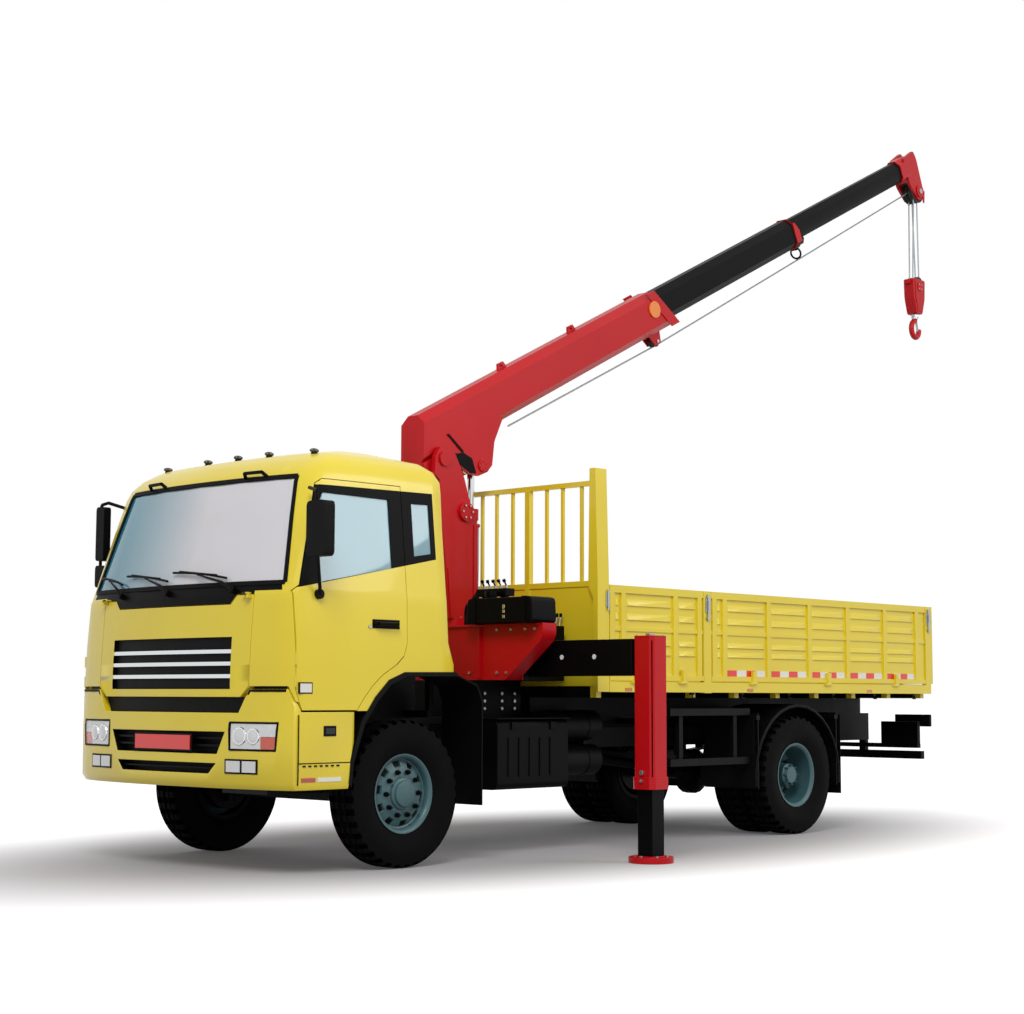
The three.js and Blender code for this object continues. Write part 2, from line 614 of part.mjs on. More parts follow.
// the far side carries a tall pair of mirrors on one bow
function tallMirror() {
  const main = prism('x', rounded([[1262, 2250], [1365, 2250], [1365, 2670], [1262, 2670]], 30), 900, 965);
  const wide = prism('x', rounded([[1262, 2045], [1365, 2045], [1365, 2215], [1262, 2215]], 30), 900, 965);
  const bow = [[850, 1120, 2650], [900, 1300, 2705], [925, 1352, 2690], [925, 1352, 2020], [930, 1262, 1906]];
  const arms = bow.slice(1).map((point, i) => rod(bow[i], point, 13, 8));
  const foot = rod([930, 1215, 1906], [930, 1268, 1906], 34, 10);
  return cut(join(main, wide, foot, ...arms), cabBody(-SEAT));
}

function dashboard() {
  const top = prism('y', [[760, 1780], [740, 1900], [830, 2000], [1000, 1990], [1020, 1760]], -DASH_HALF, DASH_HALF);
  const pillar = box(800, 960, -200, 200, CAB_FLOOR + SEAT, 1790);
  const column = rod([800, 620, 1840], [560, 620, 2010], 30, 10);
  const ring = new THREE.TorusGeometry(215, 16, 6, 16);
  ring.applyMatrix4(new THREE.Matrix4().makeRotationY(Math.PI / 2));
  ring.applyMatrix4(new THREE.Matrix4().makeRotationY(THREE.MathUtils.degToRad(35)));
  ring.translate(560, 620, 2010);
  const hub = rod([580, 620, 1996], [545, 620, 2021], 60, 12);
  const bar = rod([560, 410, 2010], [560, 830, 2010], 12, 8);
  return join(top, pillar, column, solid(ring), hub, bar);
}

function seat(y) {
  const base = box(-120, 330, y - 200, y + 200, CAB_FLOOR + SEAT, 1760);
  const cushion = prism('x', rounded([[y - 250, 1750], [y + 250, 1750], [y + 250, 1900], [y - 250, 1900]], 50), -160, 380);
  const back = prism('y', rounded([[-40, 1860], [-150, 1860], [-270, 2560], [-170, 2560]], 40), y - 245, y + 245);
  return join(base, cushion, back);
}

add('cab_shell', cabShell(), YELLOW);
add('bumper', bumper(), YELLOW);
add('front_panel', frontPanel(), YELLOW);
add('windscreen', glass('x', WINDSCREEN, 600, 1500), WINDOW);
add('dashboard', dashboard(), PLASTIC);
add('driver_seat', seat(620), CLOTH);
add('passenger_seat', seat(-620), CLOTH);
for (const [side, sign] of SIDES) {
  add(`quarter_glass_${side}`, onSide(glass('y', QUARTER_WINDOW, 1000, 1400), sign), WINDOW);
  add(`door_${side}`, onSide(door(), sign), YELLOW);
  add(`door_glass_${side}`, onSide(glass('y', DOOR_WINDOW, 1000, 1400), sign), WINDOW);
  add(`mirror_${side}`, onSide(sign > 0 ? mirror() : tallMirror(), sign), BLACK);
}

// ---------------------------------------------------------------- bed
function bedFloor() {
  const slab = box(HEADBOARD_X - HEADBOARD_HALF - SEAT, BED_REAR, -BED_HALF, BED_HALF, BEARER_TOP - 1, FLOOR_TOP);
  const bearers = [];
  const count = 8;
  for (let i = 0; i <= count; i += 1) {
    const x = BED_FRONT - 60 + ((BED_REAR - BED_FRONT + 120) * i) / count;
    bearers.push(box(x - 30, x + 30, -BED_HALF + 20, BED_HALF - 20, 1210, BEARER_TOP));
  }
  const runners = bothSides(box(BED_FRONT - 40, BED_REAR + 40, 385, RAIL_OUTER, RAIL_TOP + SEAT, 1211));
  const sill = box(-2115, BED_REAR, BED_HALF - 1, GATE_OUT, 1255, 1340);
  const posts = join(
    box(POST_FRONT, POST_REAR, 1205, GATE_OUT, 1250, GATE_TOP),
    box(REAR_POST, BED_REAR, 1205, GATE_OUT, 1255, GATE_TOP));
  const rearSill = box(BED_REAR + 60, BED_REAR + 1, -1225, 1225, 1258, 1302);
  const knuckles = [...hingePlaces(-2115, POST_FRONT), ...hingePlaces(POST_REAR, REAR_POST)].map((x) =>
    box(x, x + 40, GATE_OUT - 2, GATE_PIN[0] + 10, GATE_PIN[1] - 10, GATE_PIN[1] + 10));
  const rearKnuckles = [-900, 0, 900].map((y) => box(BED_REAR + 2, BED_REAR - 66, y, y + 40, 1315, 1335));
  return join(slab, ...bearers, runners, bothSides(join(sill, posts, ...knuckles)), rearSill, ...rearKnuckles);
}

// gates hang on two or three hinges, each beside a knuckle of the bed
function hingePlaces(from, to) {
  const length = from - to;
  const count = length > 2000 ? 3 : 2;
  return Array.from({ length: count }, (_, i) => from - (length * (i + 0.5)) / count);
}

function sideGate(from, to, ribs) {
  const x0 = from - GAP;
  const x1 = to + GAP;
  const panel = box(x0, x1, GATE_IN + 4, GATE_OUT - 16, GATE_BOTTOM, GATE_TOP);
  const rails = join(
    box(x0, x1, GATE_IN, GATE_OUT, GATE_TOP - 60, GATE_TOP),
    box(x0, x1, GATE_IN, GATE_OUT, GATE_BOTTOM, GATE_BOTTOM + 40),
    box(x0, x1, GATE_IN + 4, GATE_OUT - 6, 1745, 1775));
  const posts = ribs.map((x) => box(x - 28, x + 28, GATE_IN + 4, GATE_OUT, GATE_BOTTOM, GATE_TOP));
  const hinges = hingePlaces(from, to).map((x) => join(
    rod([x - SEAT, ...GATE_PIN], [x - 50, ...GATE_PIN], 10, 8),
    box(x - SEAT, x - 50, GATE_OUT + SEAT, GATE_PIN[0] + 6, GATE_PIN[1], 1440),
    box(x - SEAT, x - 50, GATE_OUT - 10, GATE_PIN[0], 1370, 1440)));
  return join(panel, rails, ...posts, ...hinges);
}

function tailgate() {
  const x0 = BED_REAR - 4;
  const x1 = BED_REAR - 44;
  const panel = box(x0 - 4, x1 + 16, -1245, 1245, GATE_BOTTOM, GATE_TOP);
  const rails = join(
    box(x0, x1, -1245, 1245, GATE_TOP - 60, GATE_TOP),
    box(x0, x1, -1245, 1245, GATE_BOTTOM, GATE_BOTTOM + 40));
  const ribs = [-1217, -620, 0, 620, 1217].map((y) =>
    box(x0 - 4, x1, y - 28, y + 28, GATE_BOTTOM, GATE_TOP));
  const pin = [BED_REAR - 56, 1325];
  const hinges = [-900, 0, 900].map((y) => join(
    rod([pin[0], y - SEAT, pin[1]], [pin[0], y - 50, pin[1]], 10, 8),
    box(x1 - SEAT, pin[0] - 6, y - SEAT, y - 50, pin[1], 1440),
    box(x1 + 10, pin[0], y - SEAT, y - 50, 1370, 1440)));
  return join(panel, rails, ...ribs, ...hinges);
}

function headboard() {
  const front = HEADBOARD_X + HEADBOARD_HALF;
  const rear = HEADBOARD_X - HEADBOARD_HALF;
  const panel = box(front, rear, -1190, 1190, BEARER_TOP + SEAT, 2140);
  const capRail = box(front + 8, rear - 8, -1205, 1205, 2095, 2140);
  const topRail = box(front + 6, rear - 6, -1220, 1220, 2905, 2946);
  const bars = bothSides(join(...[84, 269, 652, 827, 1032].map((y) =>
    box(HEADBOARD_X - 12, HEADBOARD_X + 12, y - 13, y + 13, 2130, 2910))));
  const posts = bothSides(box(HEADBOARD_X - 25, HEADBOARD_X + 25, 426, 476, 1500, 2910));
  const corner = bothSides(prism('x', [
    [BED_HALF + SEAT, 1256], [GATE_OUT, 1256], [GATE_OUT, 2150], [1225, 3040], [1165, 3040], [1150, 2100],
    [BED_HALF + SEAT, 2000]], HEADBOARD_X + 60, HEADBOARD_X - 79));
  return join(panel, capRail, topRail, bars, posts, corner, bothSides(
    box(front, rear, 1180, 1210, 1700, 1800)));
}

add('bed_floor', bedFloor(), YELLOW);
add('headboard', headboard(), YELLOW);
const FRONT_RIBS = [-2150, -2293, -2968, -3294];
const REAR_RIBS = [-3500, -3646, -4292, -4928, -5552, -6192, -6771];
for (const [side, sign] of SIDES) {
  add(`front_gate_${side}`, onSide(sideGate(-2115, POST_FRONT, FRONT_RIBS), sign), YELLOW);
  add(`rear_gate_${side}`, onSide(sideGate(POST_REAR, REAR_POST, REAR_RIBS), sign), YELLOW);
}
add('tailgate', tailgate(), YELLOW);

// ---------------------------------------------------------------- crane base and outriggers
const BEAM_HALF = BEAM_DEPTH / 2;
const BEAM_MID = (BEAM_BOTTOM + BEAM_TOP) / 2;
const RUNNING = 5;

function craneBase() {
  const wide = prism('x', [
    [-880, BASE_BOTTOM], [880, BASE_BOTTOM], [1250, 1640], [1280, 1700], [1280, BASE_TOP],
    [-1280, BASE_TOP], [-1280, 1700], [-1250, 1640]], BASE_FRONT, BASE_FRONT - 155);
  const housing = box(BASE_FRONT - 150, BASE_REAR, -HOUSING_HALF, HOUSING_HALF, BASE_BOTTOM, BASE_TOP);
  const pedestal = box(BASE_FRONT, BASE_REAR, -RAIL_OUTER, RAIL_OUTER, RAIL_TOP + SEAT, BASE_BOTTOM + 1);
  const ring = rod([SLEW_X, 0, BASE_TOP - 1], [SLEW_X, 0, BASE_TOP + 30], 270, 28);
  const tunnel = box(BEAM_X - BEAM_HALF - RUNNING, BEAM_X + BEAM_HALF + RUNNING,
    -870, 1400, BEAM_BOTTOM - RUNNING, BEAM_TOP + RUNNING);
  const [depth, height] = INNER_BEAM;
  const mouth = box(BEAM_X - depth / 2 - RUNNING, BEAM_X + depth / 2 + RUNNING, -1400, -869,
    BEAM_MID - height / 2 - SEAT, BEAM_MID + height / 2 + RUNNING);
  const pad = box(BEAM_X - 80, BEAM_X + 80, 780, HOUSING_HALF, BEAM_BOTTOM - RUNNING - 1, BEAM_BOTTOM - SEAT);
  return join(cut(join(wide, housing, pedestal, ring), tunnel, mouth), pad);
}

function boxBeam(depth, height, from, to, wall) {
  const x0 = BEAM_X - depth / 2;
  const x1 = BEAM_X + depth / 2;
  const z0 = BEAM_MID - height / 2;
  const z1 = BEAM_MID + height / 2;
  const inner = from < to ? [from - 10, to - wall] : [from + 10, to + wall];
  return cut(box(x0, x1, from, to, z0, z1), box(x0 + wall, x1 - wall, ...inner, z0 + wall, z1 - wall));
}

function outriggerLeg(y) {
  const half = LEG_SIZE / 2;
  const hole = half - LEG_WALL;
  const mouth = JACK_SIZE / 2 + SEAT;
  const inset = half - LEG_CHAMFER;
  const outline = [[inset, half], [-inset, half], [-half, inset], [-half, -inset], [-inset, -half],
    [inset, -half], [half, -inset], [half, inset]].map(([dx, dy]) => [BEAM_X + dx, y + dy]);
  const tube = prism('z', outline, LEG_BOTTOM, LEG_TOP);
  const collar = prism('z', grow(outline, 10), LEG_BOTTOM, LEG_BOTTOM + 90);
  return cut(join(tube, collar),
    box(BEAM_X - hole, BEAM_X + hole, y - hole, y + hole, LEG_BOTTOM + 60, LEG_TOP - 25),
    box(BEAM_X - mouth, BEAM_X + mouth, y - mouth, y + mouth, LEG_BOTTOM - 10, LEG_BOTTOM + 61));
}

function outriggerJack(y) {
  const half = JACK_SIZE / 2;
  return join(
    box(BEAM_X - half, BEAM_X + half, y - half, y + half, 40, 1100),
    rod([BEAM_X, y, 0], [BEAM_X, y, 45], FOOT_RADIUS, 24));
}

const beamEndLeft = LEG_Y_LEFT - LEG_SIZE / 2 - SEAT;
const beamEndRight = LEG_Y_RIGHT + LEG_SIZE / 2 + SEAT;
add('crane_base', craneBase(), RED);
add('oil_tank', prism('x', rounded([
  [570, BASE_TOP + SEAT], [1280, BASE_TOP + SEAT], [1270, 1980], [585, 1980]], 40), -1170, -1450), BLACK);
add('outrigger_beam_left',
  boxBeam(BEAM_DEPTH, BEAM_TOP - BEAM_BOTTOM, beamEndLeft - BEAM_LENGTH, beamEndLeft, BEAM_WALL), BLACK);
add('outrigger_beam_right',
  boxBeam(...INNER_BEAM, beamEndRight + BEAM_LENGTH, beamEndRight, BEAM_WALL), BLACK);
add('outrigger_leg_left', outriggerLeg(LEG_Y_LEFT), RED);
add('outrigger_leg_right', outriggerLeg(LEG_Y_RIGHT), RED);
add('outrigger_jack_left', outriggerJack(LEG_Y_LEFT), BLACK);
add('outrigger_jack_right', outriggerJack(LEG_Y_RIGHT), BLACK);

// ---------------------------------------------------------------- slewing column
// below the top of the headboard the column stays inside the circle it slews in
const COLUMN = [
  [-1700, 1845], [-1370, 1845], [-1330, 2250], [-1258, 2700], [-1250, 2958], [-1190, 3005], [-1200, 3150],
  [-1250, 3230], [-1340, 3240], [-1430, 3180], [-1530, 3000], [-1600, 2800], [-1690, 2600],
];

function craneColumn() {
  const ringBase = BASE_TOP + 30 + SEAT;
  const ring = cut(rod([SLEW_X, 0, ringBase], [SLEW_X, 0, 1850], 255, 28),
    box(-1900, -1700, -BARREL_RADIUS - 12, BARREL_RADIUS + 12, 1813, 1900));
  const cheeks = bothSides(prism('y', COLUMN, CHEEK_IN, CHEEK_OUT));
  const web = prism('y', [[-1500, 1843], [-1373, 1843], [-1333, 2250], [-1268, 2560], [-1340, 2585], [-1430, 2250]],
    -CHEEK_IN - 1, CHEEK_IN + 1);
  const lugs = bothSides(prism('y', [[-1843, 1817], [-1690, 1817], [-1690, 2000], [-1780, 1960], [-1843, 1920]],
    BARREL_RADIUS + 10, CHEEK_OUT));
  const [px, pz] = BOOM_PIN;
  const [bx, bz] = LUFF_BASE;
  const pins = join(
    rod([px, -CHEEK_OUT - 12, pz], [px, CHEEK_OUT + 12, pz], BOOM_PIN_RADIUS, 16),
    rod([bx, -CHEEK_OUT - 8, bz], [bx, CHEEK_OUT + 8, bz], LUFF_PIN_RADIUS, 16));
  return join(ring, cheeks, web, lugs, pins);
}

function along(from, to, distance) {
  const length = Math.hypot(to[0] - from[0], to[1] - from[1]);
  return [from[0] + ((to[0] - from[0]) * distance) / length, from[1] + ((to[1] - from[1]) * distance) / length];
}

function luffBarrel() {
  const start = along(LUFF_BASE, LUFF_EYE, 30);
  const end = along(LUFF_BASE, LUFF_EYE, BARREL_LENGTH);
  const inner = along(LUFF_BASE, LUFF_EYE, 60);
  const tube = rod([start[0], 0, start[1]], [end[0], 0, end[1]], BARREL_RADIUS, 20);
  const eye = rod([LUFF_BASE[0], -BARREL_RADIUS, LUFF_BASE[1]], [LUFF_BASE[0], BARREL_RADIUS, LUFF_BASE[1]], EYE_RADIUS, 16);
  const past = along(LUFF_BASE, LUFF_EYE, BARREL_LENGTH + 20);
  return cut(join(tube, eye),
    rod([inner[0], 0, inner[1]], [past[0], 0, past[1]], ROD_RADIUS + SEAT, 16),
    rod([LUFF_BASE[0], -200, LUFF_BASE[1]], [LUFF_BASE[0], 200, LUFF_BASE[1]],
      LUFF_PIN_RADIUS + PIN_CLEARANCE, 16));
}

function luffRod() {
  const start = along(LUFF_BASE, LUFF_EYE, 340);
  const shaft = rod([start[0], 0, start[1]], [LUFF_EYE[0], 0, LUFF_EYE[1]], ROD_RADIUS, 16);
  const half = BOOM_HALF - 30 - SEAT;
  return join(shaft, rod([LUFF_EYE[0], -half, LUFF_EYE[1]], [LUFF_EYE[0], half, LUFF_EYE[1]], EYE_RADIUS, 16));
}

add('crane_column', craneColumn(), RED);
add('luff_cylinder', luffBarrel(), RED);
add('luff_rod', luffRod(), CHROME);

// ---------------------------------------------------------------- boom
// Drawn level, pointing to -X from the middle of its foot end, then turned up.
const boom = new THREE.Group();
boom.position.set(BOOM_ORIGIN[0], 0, BOOM_ORIGIN[1]);
boom.rotation.y = BOOM_ANGLE;
crane.add(boom);

const FOOT_LENGTH = 260;             // solid block that carries the foot pin
const BASE_SECTION = { half: BOOM_HALF, low: 14, high: 394, from: 69, top: -3508, tip: -3752, wall: 12 };
const SECOND_SECTION = { half: 110, low: 70, high: 376, from: -2950, top: -6031, tip: -6230, wall: 10 };
const THIRD_SECTION = { half: 85, low: 130, high: 360, from: -5450, top: -8500, tip: -8500, wall: 9 };

// six-sided tube: a narrow flat top, sloped shoulders, upright sides, sloped keel
function boomOutline({ half, low, high }, sink = 0) {
  const wide = half - sink;
  const shoulder = (half * 0.42) - sink * 0.4;
  const keel = (half * 0.55) - sink * 0.4;
  const top = high - sink;
  const bottom = low + sink;
  return [[-keel, bottom], [keel, bottom], [wide, bottom + 60], [wide, top - 62], [shoulder, top],
    [-shoulder, top], [-wide, top - 62], [-wide, bottom + 60]];
}

function boomTube(section, openInner) {
  const { from, top, tip, low, high, wall } = section;
  const outer = prism('x', boomOutline(section), from, tip);
  const hole = prism('x', boomOutline(section, wall), openInner ? from + 10 : -FOOT_LENGTH, tip - 10);
  const slant = prism('y', [[top, high + 1], [tip - 50, high + 1], [tip - 50, low - 1], [tip, low - 1]],
    -300, 300);
  return top === tip ? cut(outer, hole) : cut(outer, hole, slant);
}

function boomBase() {
  const tube = boomTube(BASE_SECTION, false);
  const plate = [[-1030, 30], [-860, -100], [-745, -270], [-665, -300], [-550, -290], [-455, -230], [-300, -20],
    [-180, 40], [-180, 120], [-1030, 120]];
  const gusset = bothSides(prism('y', plate, BOOM_HALF - 30, BOOM_HALF));
  const foot = prism('y', [[5, 40], [0, -20], [-40, -62], [-265, -62], [-320, 40]], -BOOM_HALF, BOOM_HALF);
  // the end face stands upright when the boom is at its drawn angle
  const endFace = (z) => (10 - z * Math.sin(BOOM_ANGLE)) / Math.cos(BOOM_ANGLE);
  const beyond = prism('y', [[endFace(-200), -200], [endFace(450), 450], [300, 450], [300, -200]], -200, 200);
  const pad = box(-3400, -3500, -50, 50, BASE_SECTION.low + 5, SECOND_SECTION.low - SEAT);
  const pinHole = rod([-BOOM_PIN_SETBACK, -400, 0], [-BOOM_PIN_SETBACK, 400, 0], BOOM_PIN_RADIUS + PIN_CLEARANCE, 16);
  const plates = cut(gusset, prism('x', boomOutline(BASE_SECTION, 6), -100, -1200));
  return cut(join(cut(join(tube, foot), beyond), plates, pad), pinHole);
}

function secondSection() {
  const tube = boomTube(SECOND_SECTION, true);
  const collarFrom = { ...SECOND_SECTION, half: 122, low: 56, high: 388 };
  const collar = cut(
    prism('x', boomOutline(collarFrom), -6040, -6130),
    prism('x', boomOutline(SECOND_SECTION, 4), -6000, -6200),
    prism('y', [[-6031, 400], [-6330, 400], [-6330, 40], [-6245, 40]], -300, 300));
  const pad = box(-5900, -6020, -40, 40, SECOND_SECTION.low + 4, THIRD_SECTION.low - SEAT);
  return join(tube, collar, pad);
}

function boomHead() {
  const inside = THIRD_SECTION.half;
  const sleeve = cut(
    prism('x', boomOutline({ half: inside + 14, low: 112, high: 376 }), -8440, -8640),
    prism('x', boomOutline(THIRD_SECTION, -SEAT), -8400, -8500 - SEAT),
    box(-8520, -8700, -60.5, 60.5, 60, 330));
  const plates = bothSides(prism('y', rounded([[-8560, 370], [-8800, 400], [-8830, 300], [-8800, -150], [-8660, -150],
    [-8560, 60]], 40), 60.5, 92));
  const tie = box(-8600, -8800, -92, 92, 300, 360);
  return join(sleeve, plates, tie);
}

add('boom_base', boomBase(), RED, boom);
add('boom_section_2', secondSection(), BLACK, boom);
add('boom_section_3', boomTube(THIRD_SECTION, true), BLACK, boom);
add('boom_head', boomHead(), RED, boom);

// ---------------------------------------------------------------- rope falls, block and hook
function ropeFalls() {
  const [x, z] = SHEAVE;
  const carrier = rod([x, -60, z], [x, 60, z], 62, 16);
  const falls = [[-95, -40], [-32, 40], [32, -40], [95, 40]].map(([dx, y]) =>
    rod([x + dx * 0.5, y, z], [x + dx, y, BLOCK_TOP + SEAT], 8, 8));
  return join(carrier, ...falls);
}

function hookBlock() {
  const [x] = SHEAVE;
  const sides = [[x - 125, BLOCK_TOP], [x + 125, BLOCK_TOP], [x + 115, 5700], [x + 60, BLOCK_BOTTOM],
    [x - 60, BLOCK_BOTTOM], [x - 115, 5700]];
  return prism('y', rounded(sides, 30), -65, 65);
}

function hook() {
  const [x] = SHEAVE;
  const shank = rod([x, 0, BLOCK_BOTTOM - SEAT], [x, 0, 5440], 26, 12);
  const points = [];
  for (let i = 0; i <= 10; i += 1) {
    const a = THREE.MathUtils.degToRad(90 - i * 27);
    points.push(new THREE.Vector3(x + 78 * Math.cos(a), 0, 5355 + 95 * Math.sin(a)));
  }
  const section = new THREE.Shape();
  section.absarc(0, 0, 30, 0, Math.PI * 2, false);
  const geometry = new THREE.ExtrudeGeometry(section, {
    steps: 14, bevelEnabled: false, curveSegments: 5, extrudePath: new THREE.CatmullRomCurve3(points) });
  return join(shank, solid(geometry));
}

add('rope_falls', ropeFalls(), STEEL);
add('hook_block', hookBlock(), RED);
add('hook', hook(), RED);

// ---------------------------------------------------------------- origin at the bottom centre
crane.updateMatrixWorld(true);
const bounds = new THREE.Box3().setFromObject(crane, true);
crane.position.set(-(bounds.min.x + bounds.max.x) / 2, -(bounds.min.y + bounds.max.y) / 2, -bounds.min.z);
crane.updateMatrixWorld(true);

export default crane;
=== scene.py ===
"""Looks of the mobile crane: finishes, detail pieces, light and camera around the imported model."""
import json
import math

import bmesh
import bpy
from mathutils import Matrix, Vector
from mathutils.bvhtree import BVHTree


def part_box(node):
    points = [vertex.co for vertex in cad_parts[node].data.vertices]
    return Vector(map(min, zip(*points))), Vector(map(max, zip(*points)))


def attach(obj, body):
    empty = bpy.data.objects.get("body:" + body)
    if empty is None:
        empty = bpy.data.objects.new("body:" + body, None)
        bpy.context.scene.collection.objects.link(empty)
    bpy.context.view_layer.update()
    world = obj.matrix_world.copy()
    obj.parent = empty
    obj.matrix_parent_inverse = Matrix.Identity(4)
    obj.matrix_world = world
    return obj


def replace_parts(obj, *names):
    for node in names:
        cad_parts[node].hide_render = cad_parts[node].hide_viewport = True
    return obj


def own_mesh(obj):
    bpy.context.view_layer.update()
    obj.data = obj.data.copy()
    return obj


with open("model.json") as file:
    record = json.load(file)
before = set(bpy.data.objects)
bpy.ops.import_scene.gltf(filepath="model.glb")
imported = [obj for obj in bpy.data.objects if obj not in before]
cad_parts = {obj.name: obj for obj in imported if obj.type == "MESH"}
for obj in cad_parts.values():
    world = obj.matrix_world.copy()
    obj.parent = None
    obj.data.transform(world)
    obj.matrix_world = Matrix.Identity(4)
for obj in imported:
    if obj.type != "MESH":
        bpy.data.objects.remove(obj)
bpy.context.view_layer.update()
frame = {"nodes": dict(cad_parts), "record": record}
nodes = frame["nodes"]

# The truck's own frame: front axle line, middle of the truck, ground.
near_low, near_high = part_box("front_tyre_left")
far_low, far_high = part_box("front_tyre_right")
TRUCK = Vector((
    (near_low.x + near_high.x) / 2,
    (near_low.y + near_high.y + far_low.y + far_high.y) / 4,
    near_low.z,
))
WHEELBASE = 4.774
SLEW_X = -1.6
PIVOT = Vector((-1.13, 0, 3.05))           # the boom's pin on the column
RISE = math.radians(26.8)                  # the boom's rise at rest
BOOM_AXIS = Vector((-math.cos(RISE), 0, math.sin(RISE)))
BOOM_UP = Vector((math.sin(RISE), 0, math.cos(RISE)))
HEAD_X, HEAD_Z = -8.94, 6.93               # the boom head's sheave pin
WINCH_X, WINCH_Z = -1.545, 2.72
CYLINDER_FOOT = Vector((-1.78, 0, 1.88))
CYLINDER_AXIS = Vector((-0.02, 0, 1.25)).normalized()
LEG_X = -1.616
LEG_Y = {"left": 2.068, "right": -1.110}   # the left beam is out, the right one stowed
SIDES = (("left", 1), ("right", -1))
AXES = {"x": Vector((1, 0, 0)), "y": Vector((0, 1, 0)), "z": Vector((0, 0, 1))}


# ---------------------------------------------------------------- finishes
def linear(code):
    """An sRGB hex colour as a linear colour."""
    parts = [int(code[i:i + 2], 16) / 255 for i in (1, 3, 5)]
    return tuple(p / 12.92 if p <= 0.04045 else ((p + 0.055) / 1.055) ** 2.4 for p in parts) + (1.0,)


def add_node(tree, kind, links=None, **settings):
    """Adds one shader node; links go to inputs by name or number, settings to the node."""
    made = tree.nodes.new(kind)
    for key, value in settings.items():
        setattr(made, key, value)
    for key, value in (links or {}).items():
        if isinstance(value, bpy.types.NodeSocket):
            tree.links.new(value, made.inputs[key])
        else:
            made.inputs[key].default_value = value
    return made


def start(name, **shader):
    """A material with a principled shader; returns material, tree, shader and object coordinates."""
    material = bpy.data.materials.new(name)
    material.use_nodes = True
    tree = material.node_tree
    tree.nodes.clear()
    surface = add_node(tree, "ShaderNodeBsdfPrincipled")
    for key, value in shader.items():
        surface.inputs[key.replace("_", " ")].default_value = value
    add_node(tree, "ShaderNodeOutputMaterial", {"Surface": surface.outputs[0]})
    coords = add_node(tree, "ShaderNodeTexCoord").outputs["Object"]
    return material, tree, surface, coords


def mottled(tree, coords, first, second, scale, low=0.35, high=0.65, detail=4.0):
    """A colour that drifts between two colours in soft patches, scale patches to the metre."""
    patches = add_node(tree, "ShaderNodeTexNoise", {"Vector": coords, "Scale": scale, "Detail": detail})
    ramp = add_node(tree, "ShaderNodeValToRGB", {0: patches.outputs[0]})
    ramp.color_ramp.elements[0].position = low
    ramp.color_ramp.elements[0].color = linear(first)
    ramp.color_ramp.elements[1].position = high
    ramp.color_ramp.elements[1].color = linear(second)
    return ramp.outputs[0]


def bumped(tree, surface, height, strength, distance):
    """Raises the surface's shading by a height pattern."""
    bump = add_node(tree, "ShaderNodeBump", {"Height": height, "Strength": strength, "Distance": distance})
    tree.links.new(bump.outputs[0], surface.inputs["Normal"])


def rough_patches(tree, surface, coords, scale, low, high):
    """Roughness that wanders between two values, as handled or weathered surfaces do."""
    patches = add_node(tree, "ShaderNodeTexNoise", {"Vector": coords, "Scale": scale, "Detail": 3.0})
    span = add_node(tree, "ShaderNodeMapRange", {"Value": patches.outputs[0], "To Min": low, "To Max": high})
    tree.links.new(span.outputs[0], surface.inputs["Roughness"])


def coach_paint(name, main, shade, low, high, coat=0.5, peel=0.12, shine=0.5):
    """Sprayed two-pack enamel on steel: even colour, a clear glossy top, fine orange peel."""
    material, tree, surface, coords = start(
        name, Coat_Weight=coat, Coat_Roughness=0.06, IOR=1.5, Specular_IOR_Level=shine)
    tree.links.new(mottled(tree, coords, main, shade, 1.3, 0.3, 0.8), surface.inputs["Base Color"])
    rough_patches(tree, surface, coords, 6.0, low, high)
    # orange peel of real paint is 3 to 5 mm from crest to crest
    peel_grain = add_node(tree, "ShaderNodeTexNoise", {"Vector": coords, "Scale": 220.0, "Detail": 1.0})
    bumped(tree, surface, peel_grain.outputs[0], peel, 0.0006)
    return material


def chassis_paint(name, main, dust, amount):
    """Brushed-on black chassis enamel: satin, with road dust lying in soft patches."""
    material, tree, surface, coords = start(name, IOR=1.5, Specular_IOR_Level=0.1)
    grime = add_node(tree, "ShaderNodeTexNoise", {"Vector": coords, "Scale": 4.5, "Detail": 6.0, "Roughness": 0.65})
    level = add_node(tree, "ShaderNodeMapRange", {
        "Value": grime.outputs[0], "From Min": 0.45, "From Max": 0.75, "To Min": 0.0, "To Max": amount})
    mixed = add_node(tree, "ShaderNodeMix", {0: level.outputs[0], 6: linear(main), 7: linear(dust)}, data_type="RGBA")
    tree.links.new(mixed.outputs[2], surface.inputs["Base Color"])
    rough_patches(tree, surface, coords, 9.0, 0.38, 0.6)
    grain = add_node(tree, "ShaderNodeTexNoise", {"Vector": coords, "Scale": 160.0, "Detail": 2.0})
    bumped(tree, surface, grain.outputs[0], 0.2, 0.0008)
    return material


def moulded(name, main, rough, grit=0.0016, strength=0.35):
    """Moulded plastic or rubber with a fine leather-like grain, grit metres across."""
    material, tree, surface, coords = start(name, IOR=1.49, Specular_IOR_Level=0.08)
    tree.links.new(mottled(tree, coords, main, main, 8.0), surface.inputs["Base Color"])
    surface.inputs["Base Color"].default_value = linear(main)
    rough_patches(tree, surface, coords, 12.0, rough - 0.06, rough + 0.06)
    grain = add_node(tree, "ShaderNodeTexVoronoi", {"Vector": coords, "Scale": 1 / grit})
    bumped(tree, surface, grain.outputs[0], strength, grit / 4)
    return material


